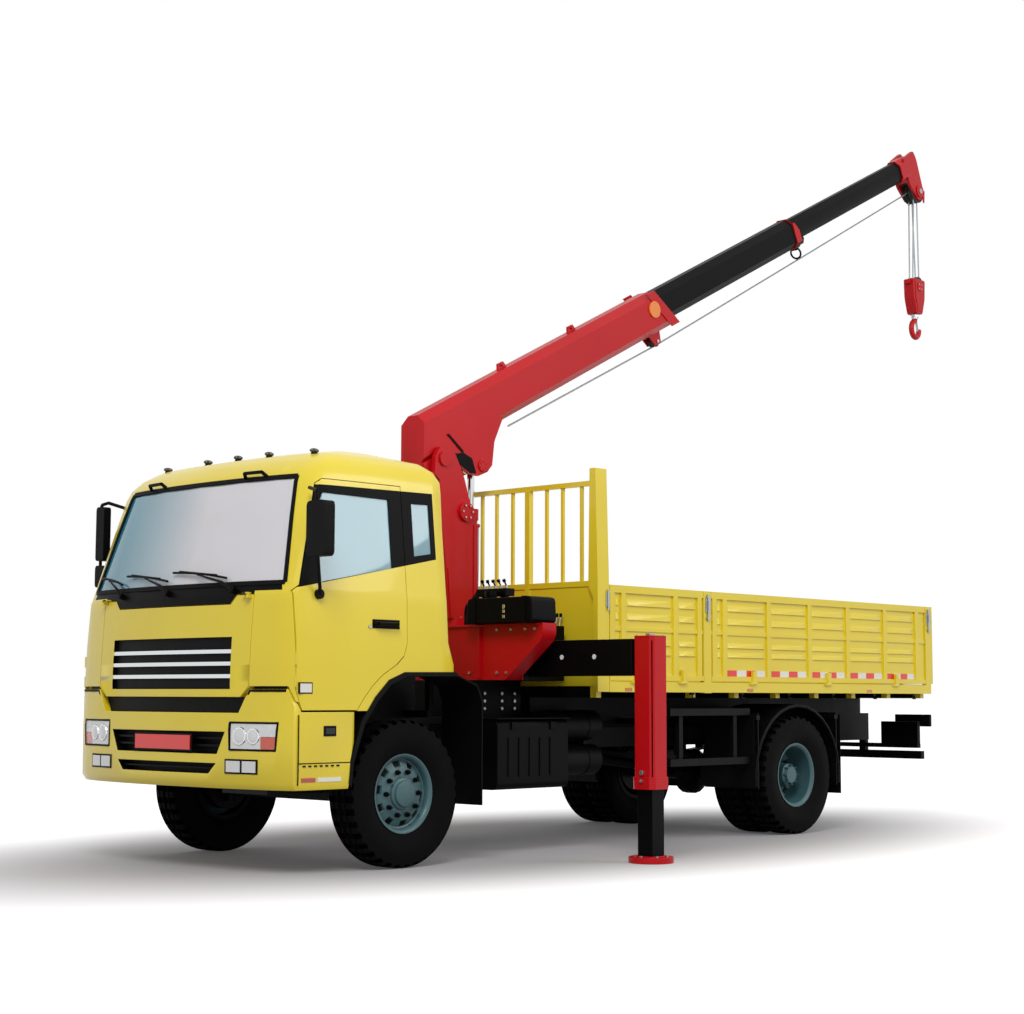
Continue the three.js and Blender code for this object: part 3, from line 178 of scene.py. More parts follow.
def bare_metal(name, main, rough, stretch=(1.0, 1.0, 60.0), strength=0.15):
    """Bare metal with fine drawn or turned lines; stretch says how much closer they lie on each axis."""
    material, tree, surface, coords = start(name, Metallic=1.0)
    surface.inputs["Base Color"].default_value = linear(main)
    lined = add_node(tree, "ShaderNodeMapping", {"Vector": coords, "Scale": stretch})
    lines = add_node(tree, "ShaderNodeTexNoise", {"Vector": lined.outputs[0], "Scale": 30.0, "Detail": 3.0})
    span = add_node(tree, "ShaderNodeMapRange", {
        "Value": lines.outputs[0], "To Min": rough * 0.7, "To Max": rough * 1.3})
    tree.links.new(span.outputs[0], surface.inputs["Roughness"])
    bumped(tree, surface, lines.outputs[0], strength, 0.0005)
    return material


def tinted_glass(name, tint, clear, rough=0.02):
    """Float glass: smooth, mirror-like at a slant, letting part of the light through."""
    material, tree, surface, coords = start(name, IOR=1.52, Coat_Weight=0.4)
    surface.inputs["Transmission Weight"].default_value = clear
    tree.links.new(mottled(tree, coords, tint, tint, 1.0), surface.inputs["Base Color"])
    surface.inputs["Base Color"].default_value = linear(tint)
    rough_patches(tree, surface, coords, 3.0, rough, rough + 0.02)
    return material


def lamp_lens(name, tint, clear):
    """Moulded polycarbonate lens with vertical flutes about 8 mm apart."""
    material, tree, surface, coords = start(name, IOR=1.58, Roughness=0.08, Coat_Weight=0.5)
    surface.inputs["Transmission Weight"].default_value = clear
    surface.inputs["Base Color"].default_value = linear(tint)
    flutes = add_node(tree, "ShaderNodeTexWave", {"Vector": coords, "Scale": 20.0}, bands_direction="Y")
    bumped(tree, surface, flutes.outputs[0], 0.4, 0.002)
    return material


def woven_cloth(name, main, thread):
    """Woven polyester seat cloth: over-and-under threads drawn about 4 mm apart, with a soft sheen."""
    material, tree, surface, coords = start(name, Roughness=0.9, Sheen_Weight=0.3, Sheen_Roughness=0.5)
    across = add_node(tree, "ShaderNodeTexWave", {"Vector": coords, "Scale": 40.0}, bands_direction="Y")
    along = add_node(tree, "ShaderNodeTexWave", {"Vector": coords, "Scale": 40.0}, bands_direction="Z")
    woven = add_node(tree, "ShaderNodeMath", {0: across.outputs[1], 1: along.outputs[1]}, operation="MULTIPLY")
    colour = add_node(tree, "ShaderNodeMix", {0: woven.outputs[0], 6: linear(main), 7: linear(thread)},
                      data_type="RGBA")
    tree.links.new(colour.outputs[2], surface.inputs["Base Color"])
    bumped(tree, surface, woven.outputs[0], 0.5, 0.001)
    return material


def painted_sky_reflection(material, first, second, near, far):
    """Grades a glass's colour from the second colour to the first along Y: a painted reflection of the sky."""
    tree = material.node_tree
    parts = add_node(tree, "ShaderNodeSeparateXYZ", {0: add_node(tree, "ShaderNodeTexCoord").outputs["Object"]})
    across = add_node(tree, "ShaderNodeMapRange", {
        "Value": parts.outputs[1], "From Min": near, "From Max": far, "To Min": 1.0, "To Max": 0.0})
    tint = add_node(tree, "ShaderNodeMix", {0: across.outputs[0], 6: linear(first), 7: linear(second)},
                    data_type="RGBA")
    surface = next(n for n in tree.nodes if n.type == "BSDF_PRINCIPLED")
    tree.links.new(tint.outputs[2], surface.inputs["Base Color"])


def seen_directly(tree):
    """One for rays from the camera, and for those that a mirror or a pane sends on."""
    path = add_node(tree, "ShaderNodeLightPath")
    seen = add_node(tree, "ShaderNodeMath", {0: path.outputs["Is Camera Ray"], 1: path.outputs["Is Glossy Ray"]},
                    operation="MAXIMUM")
    return add_node(tree, "ShaderNodeMath", {0: seen.outputs[0], 1: path.outputs["Is Transmission Ray"]},
                    operation="MAXIMUM").outputs[0]
YELLOW = coach_paint("yellow_enamel", "#ecd52c", "#e6cd24", 0.3, 0.4, coat=0.35)
RED = coach_paint("red_enamel", "#c60a16", "#ba0812", 0.34, 0.44, coat=0.08, shine=0.22)
BLACK = coach_paint("black_enamel", "#050506", "#08080a", 0.36, 0.48, coat=0.0, shine=0.06)
UNDER = chassis_paint("black_chassis_enamel", "#060607", "#221f1a", 0.3)
WHEEL = coach_paint("grey_green_wheel_enamel", "#3d6064", "#2c4c52", 0.4, 0.55, coat=0.1)
TYRE = moulded("vulcanised_rubber", "#070708", 0.78, 0.003, 0.3)
PLASTIC = moulded("black_abs", "#09090a", 0.5)
GREY_PLASTIC = moulded("grey_abs", "#3c3f43", 0.55)
RUBBER = moulded("hose_rubber", "#09090a", 0.6, 0.001, 0.2)
CHROME = bare_metal("hard_chrome", "#d9dcde", 0.1, (1, 1, 20), 0.02)
STEEL = bare_metal("zinc_plated_steel", "#a9adb0", 0.38)
CAST = chassis_paint("cast_iron_grey", "#3a3d40", "#57503f", 0.5)
ALLOY = bare_metal("rolled_aluminium", "#b9bcbe", 0.35, (40, 1, 1), 0.1)
ROPE = bare_metal("galvanised_wire_rope", "#8f9396", 0.45, (1, 1, 8), 0.8)
# the windscreen's near-white colour, graded to blue along Y, is a painted reflection of the sky
SCREEN = tinted_glass("laminated_windscreen", "#e9eef2", 0.3)
painted_sky_reflection(SCREEN, "#f2f0f4", "#3c9db4", TRUCK.y - 0.85, TRUCK.y + 0.15)
WINDOW = tinted_glass("tempered_side_glass", "#a6d2de", 0.5)
LENS_CLEAR = lamp_lens("clear_polycarbonate", "#f4f6f6", 0.25)
LENS_AMBER = lamp_lens("amber_polycarbonate", "#f08a1c", 0.4)
LENS_SIGNAL = lamp_lens("orange_polycarbonate", "#e8542a", 0.3)
LENS_DARK = lamp_lens("smoked_polycarbonate", "#1c1712", 0.1)
LENS_RED = lamp_lens("red_polycarbonate", "#c8141c", 0.4)
MIRROR = bare_metal("silvered_mirror", "#e4e8ea", 0.03, (1, 1, 1), 0.0)
CLOTH = woven_cloth("woven_polyester", "#2b2e33", "#4a4e55")
RED_PLATE = coach_paint("red_blank_plate", "#e8251c", "#de1f18", 0.35, 0.4)
WHITE = coach_paint("white_enamel", "#eceae4", "#e2e0da", 0.35, 0.45)
ORANGE = coach_paint("orange_enamel", "#f08418", "#e87a10", 0.35, 0.45)


# ---------------------------------------------------------------- piece helpers
def dressed(piece, materials):
    """Gives a piece its materials."""
    for material in materials if isinstance(materials, (list, tuple)) else [materials]:
        piece.data.materials.append(material)


def stood(name, data):
    """A new object in the scene."""
    made = bpy.data.objects.new(name, data)
    bpy.context.scene.collection.objects.link(made)
    return made


def meshed(name, bm):
    """A new object in the scene from a bmesh, which goes."""
    mesh = bpy.data.meshes.new(name)
    bm.to_mesh(mesh)
    bm.free()
    return stood(name, mesh)


def finished(name, bm, materials, body, smooth_angle=35, bevel=0.0):
    """Makes a bmesh in the truck's frame a piece that rides on a body."""
    bmesh.ops.translate(bm, verts=bm.verts, vec=TRUCK)
    limit = math.radians(smooth_angle)
    for face in bm.faces:
        face.smooth = True
    for edge in bm.edges:
        edge.smooth = len(edge.link_faces) == 2 and edge.calc_face_angle(0) < limit
    piece = meshed(name, bm)
    dressed(piece, materials)
    if bevel:
        rounding = piece.modifiers.new("edges", "BEVEL")
        rounding.width = bevel
        rounding.segments = 2
        rounding.limit_method = "ANGLE"
        rounding.angle_limit = limit
        rounding.harden_normals = True
    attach(piece, body)
    return piece


def painted(verts, material):
    """Gives a finish to the faces at some corners, and returns those faces."""
    faces = list({f for v in verts for f in v.link_faces})
    for face in faces:
        face.material_index = material
    return faces


def block(bm, low, high, material=0):
    """A box between two corners."""
    low, high = Vector(low), Vector(high)
    size = high - low
    spread = Matrix.Diagonal((abs(size.x), abs(size.y), abs(size.z), 1))
    made = bmesh.ops.create_cube(bm, size=1, matrix=Matrix.Translation((low + high) / 2) @ spread)
    painted(made["verts"], material)


def round_bar(bm, start_point, end_point, radius, sides=12, end_radius=None, material=0):
    """A round bar or cone between two points."""
    a, b = Vector(start_point), Vector(end_point)
    turn = (b - a).to_track_quat("Z", "Y").to_matrix().to_4x4()
    made = bmesh.ops.create_cone(
        bm, cap_ends=True, segments=sides, radius1=radius, radius2=radius if end_radius is None else end_radius,
        depth=(b - a).length, matrix=Matrix.Translation((a + b) / 2) @ turn)
    painted(made["verts"], material)


def chain(bm, points, radius, sides):
    """Round bars from each point to the next."""
    for a, b in zip(points, points[1:]):
        round_bar(bm, a, b, radius, sides)


def upright(bm, x, y, low, high, radius, sides=24, material=0):
    """A round bar that stands up."""
    round_bar(bm, (x, y, low), (x, y, high), radius, sides, material=material)


def long_bar(bm, y, z, near, far, radius, sides=24, material=0):
    """A round bar along the truck."""
    round_bar(bm, (near, y, z), (far, y, z), radius, sides, material=material)


def cross_bar(bm, x, z, near, far, radius, sides=24, material=0):
    """A round bar across the truck."""
    round_bar(bm, (x, near, z), (x, far, z), radius, sides, material=material)


def plate(bm, outline, axis, near, far, material=0):
    """A flat outline in the plane across an axis, thickened along it."""
    order = {"x": lambda a, b: (near, a, b), "y": lambda a, b: (a, near, b), "z": lambda a, b: (a, b, near)}[axis]
    verts = [bm.verts.new(order(a, b)) for a, b in outline]
    grown = bmesh.ops.extrude_face_region(bm, geom=[bm.faces.new(verts)])
    moved = [v for v in grown["geom"] if isinstance(v, bmesh.types.BMVert)]
    bmesh.ops.translate(bm, verts=moved, vec=AXES[axis] * (far - near))
    bmesh.ops.recalc_face_normals(bm, faces=painted(verts + moved, material))


def skin(bm, rings, material=0):
    """Closes a row of rings, each with as many points, into a solid strip."""
    loops = [[bm.verts.new(point) for point in ring] for ring in rings]
    made = [bm.faces.new(loops[0]), bm.faces.new(loops[-1][::-1])]
    for one, two in zip(loops, loops[1:]):
        for k in range(len(one)):
            after = (k + 1) % len(one)
            made.append(bm.faces.new((one[k], two[k], two[after], one[after])))
    for face in made:
        face.material_index = material
    bmesh.ops.recalc_face_normals(bm, faces=made)


def spun(bm, profile, centre, axis=(0, 1, 0), steps=48):
    """A closed profile of (radius, along) turned about an axis through centre."""
    axis = Vector(axis)
    out = Vector((0, 0, 1)) if abs(axis.z) < 0.5 else Vector((1, 0, 0))
    ring = [bm.verts.new(Vector(centre) + out * r + axis * t) for r, t in profile]
    edges = [bm.edges.new((ring[i], ring[(i + 1) % len(ring)])) for i in range(len(ring))]
    bmesh.ops.spin(bm, geom=ring + edges, cent=centre, axis=axis, angle=math.tau, steps=steps, use_merge=True)
    bmesh.ops.remove_doubles(bm, verts=bm.verts, dist=1e-5)
    bmesh.ops.recalc_face_normals(bm, faces=bm.faces)


def pipe(name, routes, radius, material, body):
    """Round hoses or pipes along one or more routes, as one curve piece."""
    data = bpy.data.curves.new(name, "CURVE")
    data.dimensions = "3D"
    data.bevel_depth = radius
    data.bevel_resolution = 3
    data.resolution_u = 6
    data.use_fill_caps = True
    for route in routes:
        spline = data.splines.new("BEZIER")
        spline.bezier_points.add(len(route) - 1)
        for point, place in zip(spline.bezier_points, route):
            point.co = Vector(place) + TRUCK
            point.handle_left_type = point.handle_right_type = "AUTO"
    piece = stood(name, data)
    dressed(piece, material)
    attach(piece, body)


def merged_copy(name):
    """The CAD node's mesh in the truck's frame, with its loose triangles joined and its flat faces whole."""
    bm = bmesh.new()
    bm.from_mesh(nodes[name].data)
    bmesh.ops.remove_doubles(bm, verts=bm.verts, dist=2e-5)
    bmesh.ops.dissolve_limit(bm, angle_limit=math.radians(0.5), verts=bm.verts, edges=bm.edges)
    bmesh.ops.translate(bm, verts=bm.verts, vec=-TRUCK)
    for face in bm.faces:
        face.material_index = 0
    return bm


def body_of_node(name):
    """The body that holds a CAD node."""
    return next(b for b, members in frame["record"]["behaviour"]["bodies"].items() if name in members)


def refined(name, materials, bevel=0.003, angle=35, paint=None):
    """Stands a copy of a CAD node with rounded edges, and a finish for each region, in its place."""
    bm = merged_copy(name)
    if paint:
        paint(bm)
    piece = finished(f"{name}_finished", bm, materials, body_of_node(name), angle, bevel)
    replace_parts(piece, name)
    return piece


def split_faces(bm, place, normal):
    """Cuts every face by a plane, so that a finish can end along it."""
    bmesh.ops.bisect_plane(
        bm, geom=bm.verts[:] + bm.edges[:] + bm.faces[:], plane_co=place, plane_no=normal, dist=1e-5)


def split_at(bm, axis, *places):
    """Cuts every face across an axis at some places."""
    for place in places:
        split_faces(bm, AXES[axis] * place, AXES[axis])


def paint_where(bm, index, test):
    """Gives a finish to the faces whose middle passes a test."""
    for face in bm.faces:
        if test(face.calc_center_median(), face.normal):
            face.material_index = index


def line_test(a, b):
    """Which side of the line from a to b in the XZ plane a point is on; positive is above."""
    return lambda p: (b[0] - a[0]) * (p.z - a[1]) - (b[1] - a[1]) * (p.x - a[0])


# ---------------------------------------------------------------- cab
SILL = line_test((-0.17, 2.196), (1.064, 1.953))
WINDOW_TOP = line_test((-0.203, 2.690), (0.856, 2.672))
QUARTER_END = -0.222                    # the quarter glass's rear edge
PANE_SIDE = 0.9                         # the side panes lie outside this
COWL_LOW, COWL_STEP, COWL_TOP = 1.842, 1.932, 1.985
COWL_MIDDLE = 0.87                      # the cowl is deeper inside this
COWL_END, COWL_LEAN = 1.11, 0.35


def black_window_band(bm):
    """The black frame around the side windows, from the door's front edge to behind the quarter glass."""
    split_faces(bm, (-0.17, 0, 2.196), Vector((0.197, 0, 1.0)))
    split_faces(bm, (-0.203, 0, 2.690), Vector((0.017, 0, 1.0)))
    split_at(bm, "x", QUARTER_END)
    split_at(bm, "y", PANE_SIDE, -PANE_SIDE)
    paint_where(bm, 1, lambda p, n: (
        SILL(p) > 0 and WINDOW_TOP(p) < 0 and p.x > QUARTER_END and abs(p.y) > PANE_SIDE))


def inside_cab(p):
    """Whether a point is within the cab's inner walls, windscreen and roof."""
    half = 1.19 - max(0, p.z - 1.6) * 0.105 - max(0, p.z - 2.72) * 0.9
    front = 1.155 - max(0, p.z - 1.9) * 0.33 - max(0, p.z - 2.76) * 1.9
    return -0.39 < p.x < front and abs(p.y) < half and 1.44 < p.z < 2.95


def cab_regions(bm):
    """Black window frames and cowl, dark inside, yellow outside."""
    split_at(bm, "x", 0.104)
    black_window_band(bm)
    paint_where(bm, 0, lambda p, n: p.x > 0.15 and p.z > 1.2 and abs(p.y) > PANE_SIDE)
    split_at(bm, "z", COWL_LOW, COWL_STEP, COWL_TOP)
    for sign in (1, -1):
        split_faces(bm, (1.1, COWL_END * sign, 1.9), Vector((0, 1, COWL_LEAN * sign)))
    split_at(bm, "y", -COWL_MIDDLE, COWL_MIDDLE)
    paint_where(bm, 1, lambda p, n: (
        p.x > 0.9 and (COWL_LOW if abs(p.y) < COWL_MIDDLE else COWL_STEP) < p.z < COWL_TOP
        and abs(p.y) < COWL_END - COWL_LEAN * (p.z - 1.9) and n.x > 0.3))
    heart = Vector((0.3, 0, 2.1))
    paint_where(bm, 2, lambda p, n: inside_cab(p) and n.dot(heart - p) > 0)


def door_regions(bm):
    """The door's window frame is black, and its inner face grey."""
    black_window_band(bm)
    paint_where(bm, 2, lambda p, n: abs(n.y) > 0.7 and (n.y > 0) != (p.y > 0))


GRILLE_HALF = 0.692


def grille_regions(bm):
    """The front panel's openings are dark, with three bright slats across them."""
    split_at(bm, "z", 1.336, 1.364, 1.422, 1.45, 1.506, 1.534)
    paint_where(bm, 1, lambda p, n: 1.261 < p.z < 1.619 and abs(p.y) < GRILLE_HALF and (
        p.x < in_front_of_cab(p.y, p.z) - 0.006))
    for height in (1.35, 1.436, 1.52):
        paint_where(bm, 2, lambda p, n: abs(p.z - height) < 0.0145 and abs(p.y) < GRILLE_HALF and n.x > 0.6)


# how far the cab reaches ahead of the axle along its middle, and half its width, each at a height
CAB_FRONT = ((0.585, 1.262), (0.63, 1.288), (1.0, 1.292), (1.116, 1.276), (1.3, 1.285), (1.444, 1.282), (1.6, 1.275),
             (1.9, 1.255), (1.96, 1.235), (2.45, 1.09), (2.7, 1.01), (2.78, 0.97), (2.86, 0.895))
CAB_HALF = ((0.585, 1.228), (0.63, 1.24), (1.444, 1.24), (1.6, 1.238), (1.9, 1.232), (1.96, 1.225), (2.45, 1.175),
            (2.7, 1.15), (2.78, 1.135), (2.86, 1.085))


def read_off(table, height):
    """The value at a height, in straight lines between a table's rows."""
    for (a, first), (b, second) in zip(table, table[1:]):
        if height <= b:
            return first + (second - first) * max(0.0, (height - a) / (b - a))
    return table[-1][1]


def in_front_of_cab(y, z):
    """The cab's crowned front at a side distance and height."""
    across = min(0.9995, abs(y) / read_off(CAB_HALF, z))
    return read_off(CAB_FRONT, z) - 0.11 * across ** 2 - 0.13 * (1 - (1 - across ** 5) ** 0.2)


refined("cab_shell", [YELLOW, BLACK, GREY_PLASTIC], 0.004, 32, cab_regions)
refined("windscreen", SCREEN, 0.0)
refined("dashboard", PLASTIC, 0.006)
for side, sign in SIDES:
    refined(f"door_{side}", [YELLOW, BLACK, GREY_PLASTIC], 0.003, 32, door_regions)
    refined(f"door_glass_{side}", WINDOW, 0.0)
    refined(f"quarter_glass_{side}", WINDOW, 0.0)
    refined(f"mirror_{side}", PLASTIC, 0.006)
refined("front_panel", [YELLOW, PLASTIC, CHROME], 0.003, 32, grille_regions)


def bumper_regions(bm):
    """The bumper's intake and its step tread are black."""
    paint_where(bm, 1, lambda p, n: p.x < in_front_of_cab(p.y, p.z) - 0.012 and p.x > 1.1 and (
        0.68 < p.z < 0.98) and abs(p.y) < 1.14)
    paint_where(bm, 2, lambda p, n: p.x < 1.06 and p.z > 1.1 and n.z > 0.5)


refined("bumper", [YELLOW, PLASTIC, PLASTIC], 0.005, 32, bumper_regions)

# ---------------------------------------------------------------- chassis, bed, crane: finishes on CAD shapes
PLAIN = {
    "chassis_frame": (UNDER, 0.002), "front_axle": (UNDER, 0.004), "rear_axle": (UNDER, 0.006),
    "drive_shaft": (UNDER, 0.003), "engine_block": (CAST, 0.01), "front_mudguards": (PLASTIC, 0.002),
    "battery_box": (BLACK, 0.004), "fuel_tank": (ALLOY, 0.006), "rear_bumper": (BLACK, 0.004),
    "headboard": (YELLOW, 0.003), "tailgate": (YELLOW, 0.003),
    "oil_tank": (BLACK, 0.01), "crane_column": (RED, 0.006),
    "luff_cylinder": (RED, 0.005), "luff_rod": (CHROME, 0.002), "boom_base": (RED, 0.005),
    "boom_section_3": (BLACK, 0.003), "boom_head": (RED, 0.004),
    "hook_block": (RED, 0.008),
}
for name, (material, width) in PLAIN.items():
    refined(name, material, width)


def second_section_regions(bm):
    """The collar at the middle boom section's end is red."""
    def on_collar(p, n):
        """Whether a face is on the collar, along the boom and up from its lower edge."""
        reach, height = (p - PIVOT).dot(BOOM_AXIS), (p - PIVOT).dot(BOOM_UP)
        return 6.035 < reach < 6.135 and (
            abs(p.y) > 0.111 or abs(n.dot(BOOM_AXIS)) > 0.6 or abs(height - 0.222) > 0.155)

    paint_where(bm, 1, on_collar)


def base_regions(bm):
    """The pedestal, and the beam housing behind the red front plate, are black."""
    split_at(bm, "x", -1.4465)
    split_at(bm, "y", 0.36, -0.36)
    split_at(bm, "z", 1.345)
    paint_where(bm, 1, lambda p, n: p.z < 1.345 or p.x < -1.4464 and abs(p.y) > 0.36)


def foot_regions(bm):
    """The jack's foot is red."""
    split_at(bm, "z", 0.05)
    paint_where(bm, 1, lambda p, n: p.z < 0.05)


def bed_regions(bm):
    """The bearers and the underside of the floor are black up to the side rails."""
    split_at(bm, "y", -1.12, 1.12)
    paint_where(bm, 1, lambda p, n: p.z < 1.33 and abs(p.y) < 1.12 and (n.z < -0.5 or p.z < 1.299))


refined("crane_base", [RED, BLACK], 0.005, 35, base_regions)
refined("bed_floor", [YELLOW, UNDER], 0.003, 35, bed_regions)
refined("boom_section_2", [BLACK, RED], 0.003, 35, second_section_regions)
refined("hook", RED, 0.0, 60)
refined("rope_falls", ROPE, 0.0, 60)
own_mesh(bpy.data.objects["rope_falls_finished"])
for side, sign in SIDES:
    refined(f"outrigger_beam_{side}", BLACK, 0.006)
    refined(f"outrigger_leg_{side}", RED, 0.006)
    refined(f"steering_knuckle_{side}", UNDER, 0.004)
    refined(f"front_gate_{side}", YELLOW, 0.003)
    refined(f"rear_gate_{side}", YELLOW, 0.003)
    refined(f"outrigger_jack_{side}", [BLACK, RED], 0.004, 35, foot_regions)

# ---------------------------------------------------------------- wheels
TYRE_R = 0.525


def tyre_profile(middle, out):
    """A radial truck tyre's outline as (radius, along), bead to bead; out is the sense of its outer side."""
    half = [(0.262, 0.080), (0.268, 0.090), (0.285, 0.094), (0.30, 0.103), (0.33, 0.118), (0.37, 0.131),
            (0.41, 0.135), (0.45, 0.131), (0.478, 0.124), (0.50, 0.121), (0.513, 0.116), (0.521, 0.104)]
    tread = [(0.524, 0.084), (0.525, 0.066), (0.512, 0.063), (0.512, 0.053), (0.525, 0.050), (0.5255, 0.016),
             (0.513, 0.013), (0.513, 0.003), (0.5255, 0.0)]
    side = half + tread
    return [(r, middle + t * out) for r, t in side] + [(r, middle - t * out) for r, t in reversed(side[:-1])]


def tyre_ring(bm, centre, middle):
    """One tyre with grooves round it and blocks cut across its shoulders."""
    made = bmesh.new()
    spun(made, tyre_profile(middle, 1), centre, steps=72)
    blocks = []
    for face in made.faces:
        spot = face.calc_center_median() - Vector(centre)
        reach, aside = math.hypot(spot.x, spot.z), abs(spot.y - middle)
        turn = int(round(math.degrees(math.atan2(spot.x, spot.z)) / 5.0 - 0.5))
        on_tread = reach > 0.518 and (0.064 < aside < 0.112 or 0.02 < aside < 0.045)
        if turn % 2 == 0 and (on_tread or reach > 0.505 and aside > 0.1):
            blocks.append(face)
    grown = bmesh.ops.extrude_discrete_faces(made, faces=blocks)
    for face in grown["faces"]:
        spot = face.calc_center_median() - Vector(centre)
        spot.y = 0
        bmesh.ops.translate(made, verts=face.verts, vec=-spot.normalized() * 0.011)
    join_into(bm, made)


def join_into(bm, other):
    """Adds another bmesh's shape to this one."""
    scratch = bpy.data.meshes.new("scratch")
    other.to_mesh(scratch)
    bm.from_mesh(scratch)
    other.free()
    bpy.data.meshes.remove(scratch)


def wheel_nuts(bm, centre, sign, plane, ring, material, count=10, size=0.018):
    """Hexagon nuts on studs round a wheel's hub."""
    for i in range(count):
        turn = math.tau * i / count
        x, z = centre[0] + ring * math.cos(turn), centre[2] + ring * math.sin(turn)
        y = centre[1] + plane * sign
        cross_bar(bm, x, z, y - 0.003 * sign, y + 0.022 * sign, size, 6, material)
        cross_bar(bm, x, z, y + 0.02 * sign, y + 0.036 * sign, size * 0.55, 10, material)


def dished_wheel(bm, profile, centre, hole_ring, hole_depth, sign):
    """A pressed steel wheel with ten hand holes, pressed in shallow with black bottoms as painted shade, and its
    inboard half black as painted shade.
    """
    made = bmesh.new()
    spun(made, [(r, t * sign) for r, t in profile], centre, steps=60)
    picked = []
    for face in made.faces:
        spot = face.calc_center_median() - Vector(centre)
        reach = math.hypot(spot.x, spot.z)
        turn = int(round(math.degrees(math.atan2(spot.x, spot.z)) / 6.0 - 0.5)) % 6
        # painted shade: the inboard half of the wheel is black
        if spot.y * sign < 0.01:
            face.material_index = 2
        elif hole_ring[0] < reach < hole_ring[1] and turn in (0, 1, 2) and face.normal.y * sign > 0.5:
            picked.append(face)
    bmesh.ops.inset_region(made, faces=picked, thickness=0.006, use_even_offset=True)
    moved = {v for f in picked if f.is_valid for v in f.verts}
    bmesh.ops.translate(made, verts=list(moved), vec=(0, -hole_depth * sign, 0))
    # painted shade: the bottoms of the shallow hand holes are black
    for face in picked:
        face.material_index = 2
    join_into(bm, made)


FRONT_RIM = [
    (0.246, -0.094), (0.280, -0.097), (0.283, -0.102), (0.283, -0.100), (0.262, -0.090), (0.2615, 0.088),
    (0.279, 0.094), (0.283, 0.102), (0.276, 0.102), (0.262, 0.096), (0.250, 0.080), (0.246, 0.050), (0.236, 0.046),
    (0.190, 0.070), (0.140, 0.078), (0.128, 0.082), (0.118, 0.082), (0.112, 0.096), (0.094, 0.104), (0.090, 0.118),
    (0.060, 0.126), (0.0005, 0.128), (0.0005, -0.05), (0.08, -0.05), (0.14, 0.060), (0.19, 0.050), (0.238, 0.030),
    (0.244, 0.020)]
REAR_RIM = [
    (0.248, -0.262), (0.283, -0.262), (0.283, -0.254), (0.2615, -0.246), (0.2615, 0.246), (0.279, 0.254),
    (0.283, 0.262), (0.276, 0.262), (0.262, 0.256), (0.250, 0.240), (0.246, 0.120), (0.240, 0.050), (0.236, 0.042),
    (0.192, 0.026), (0.140, 0.022), (0.124, 0.026), (0.120, 0.060), (0.104, 0.120), (0.098, 0.178), (0.080, 0.190),
    (0.072, 0.214), (0.0005, 0.216), (0.0005, -0.12), (0.110, -0.12), (0.110, -0.024), (0.248, -0.024)]


def axle_end(tyre, rim, body, centre, sign, middles, profile, hole_ring, hole_depth, nut_rings):
    """The tyres and the rim at one end of an axle, in place of the CAD's."""
    bm = bmesh.new()
    for middle in middles:
        tyre_ring(bm, centre, middle)
    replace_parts(finished(f"{tyre}_tread", bm, TYRE, body, 30), tyre)
    bm = bmesh.new()
    dished_wheel(bm, profile, centre, hole_ring, hole_depth, sign)
    for nut_ring in nut_rings:
        wheel_nuts(bm, centre, sign, *nut_ring)
    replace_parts(finished(f"{rim}_dish", bm, [WHEEL, WHEEL, PLASTIC], body, 32), rim)


for side, sign in SIDES:
    axle_end(f"front_tyre_{side}", f"front_rim_{side}", f"{side}_front_wheel", (0, 1.015 * sign, TYRE_R), sign,
             (0,), FRONT_RIM, (0.188, 0.238), 0.013, [(0.079, 0.158, 2)])
    axle_end(f"rear_tyres_{side}", f"rear_rims_{side}", f"{side}_rear_wheels", (-WHEELBASE, 0.925 * sign, TYRE_R),
             sign, (0.16, -0.16), REAR_RIM, (0.190, 0.238), 0.03, [(0.022, 0.166, 2), (0.186, 0.086, 1, 8, 0.009)])

# ---------------------------------------------------------------- trim that follows a curved surface
def cab_front(y, z):
    """Place and outward direction on the front of the cab."""
    place = Vector((in_front_of_cab(y, z), y, z))
    step = 0.004
    up = Vector((in_front_of_cab(y, z + step), y, z + step)) - place
    across = Vector((in_front_of_cab(y + step, z), y + step, z)) - place
    return place, across.cross(up).normalized()


def cab_side(sign):
    """Gives the function for place and outward direction on one side of the cab."""
    def surface(x, z):
        """Place and outward direction at a length and a height."""
        lean = read_off(CAB_HALF, z + 0.01) - read_off(CAB_HALF, z)
        return Vector((x, sign * read_off(CAB_HALF, z), z)), Vector((0, sign, -lean / 0.01)).normalized()
    return surface


def closed(points):
    """The pairs of neighbours round a closed outline."""
    return zip(points, points[1:] + points[:1])


def patch(bm, surface, first, second, lift, depth, material=0, across=10, up=4):
    """A panel of even thickness laid on a surface between two values of each of its coordinates."""
    front, back = [], []
    for j in range(up + 1):
        for i in range(across + 1):
            place, out = surface(first[0] + (first[1] - first[0]) * i / across,
                                 second[0] + (second[1] - second[0]) * j / up)
            front.append(bm.verts.new(place + out * lift))
            back.append(bm.verts.new(place + out * (lift - depth)))
    made = []
    row = across + 1
    for j in range(up):
        for i in range(across):
            a, b, c, d = j * row + i, j * row + i + 1, (j + 1) * row + i + 1, (j + 1) * row + i
            made.append(bm.faces.new([front[k] for k in (a, b, c, d)]))
            made.append(bm.faces.new([back[k] for k in (d, c, b, a)]))
    rim = list(range(row)) + [j * row + across for j in range(1, up + 1)] + [
        up * row + i for i in range(across - 1, -1, -1)] + [j * row for j in range(up - 1, 0, -1)]
    for a, b in closed(rim):
        made.append(bm.faces.new((front[b], front[a], back[a], back[b])))
    for face in made:
        face.material_index = material
    bmesh.ops.recalc_face_normals(bm, faces=made)


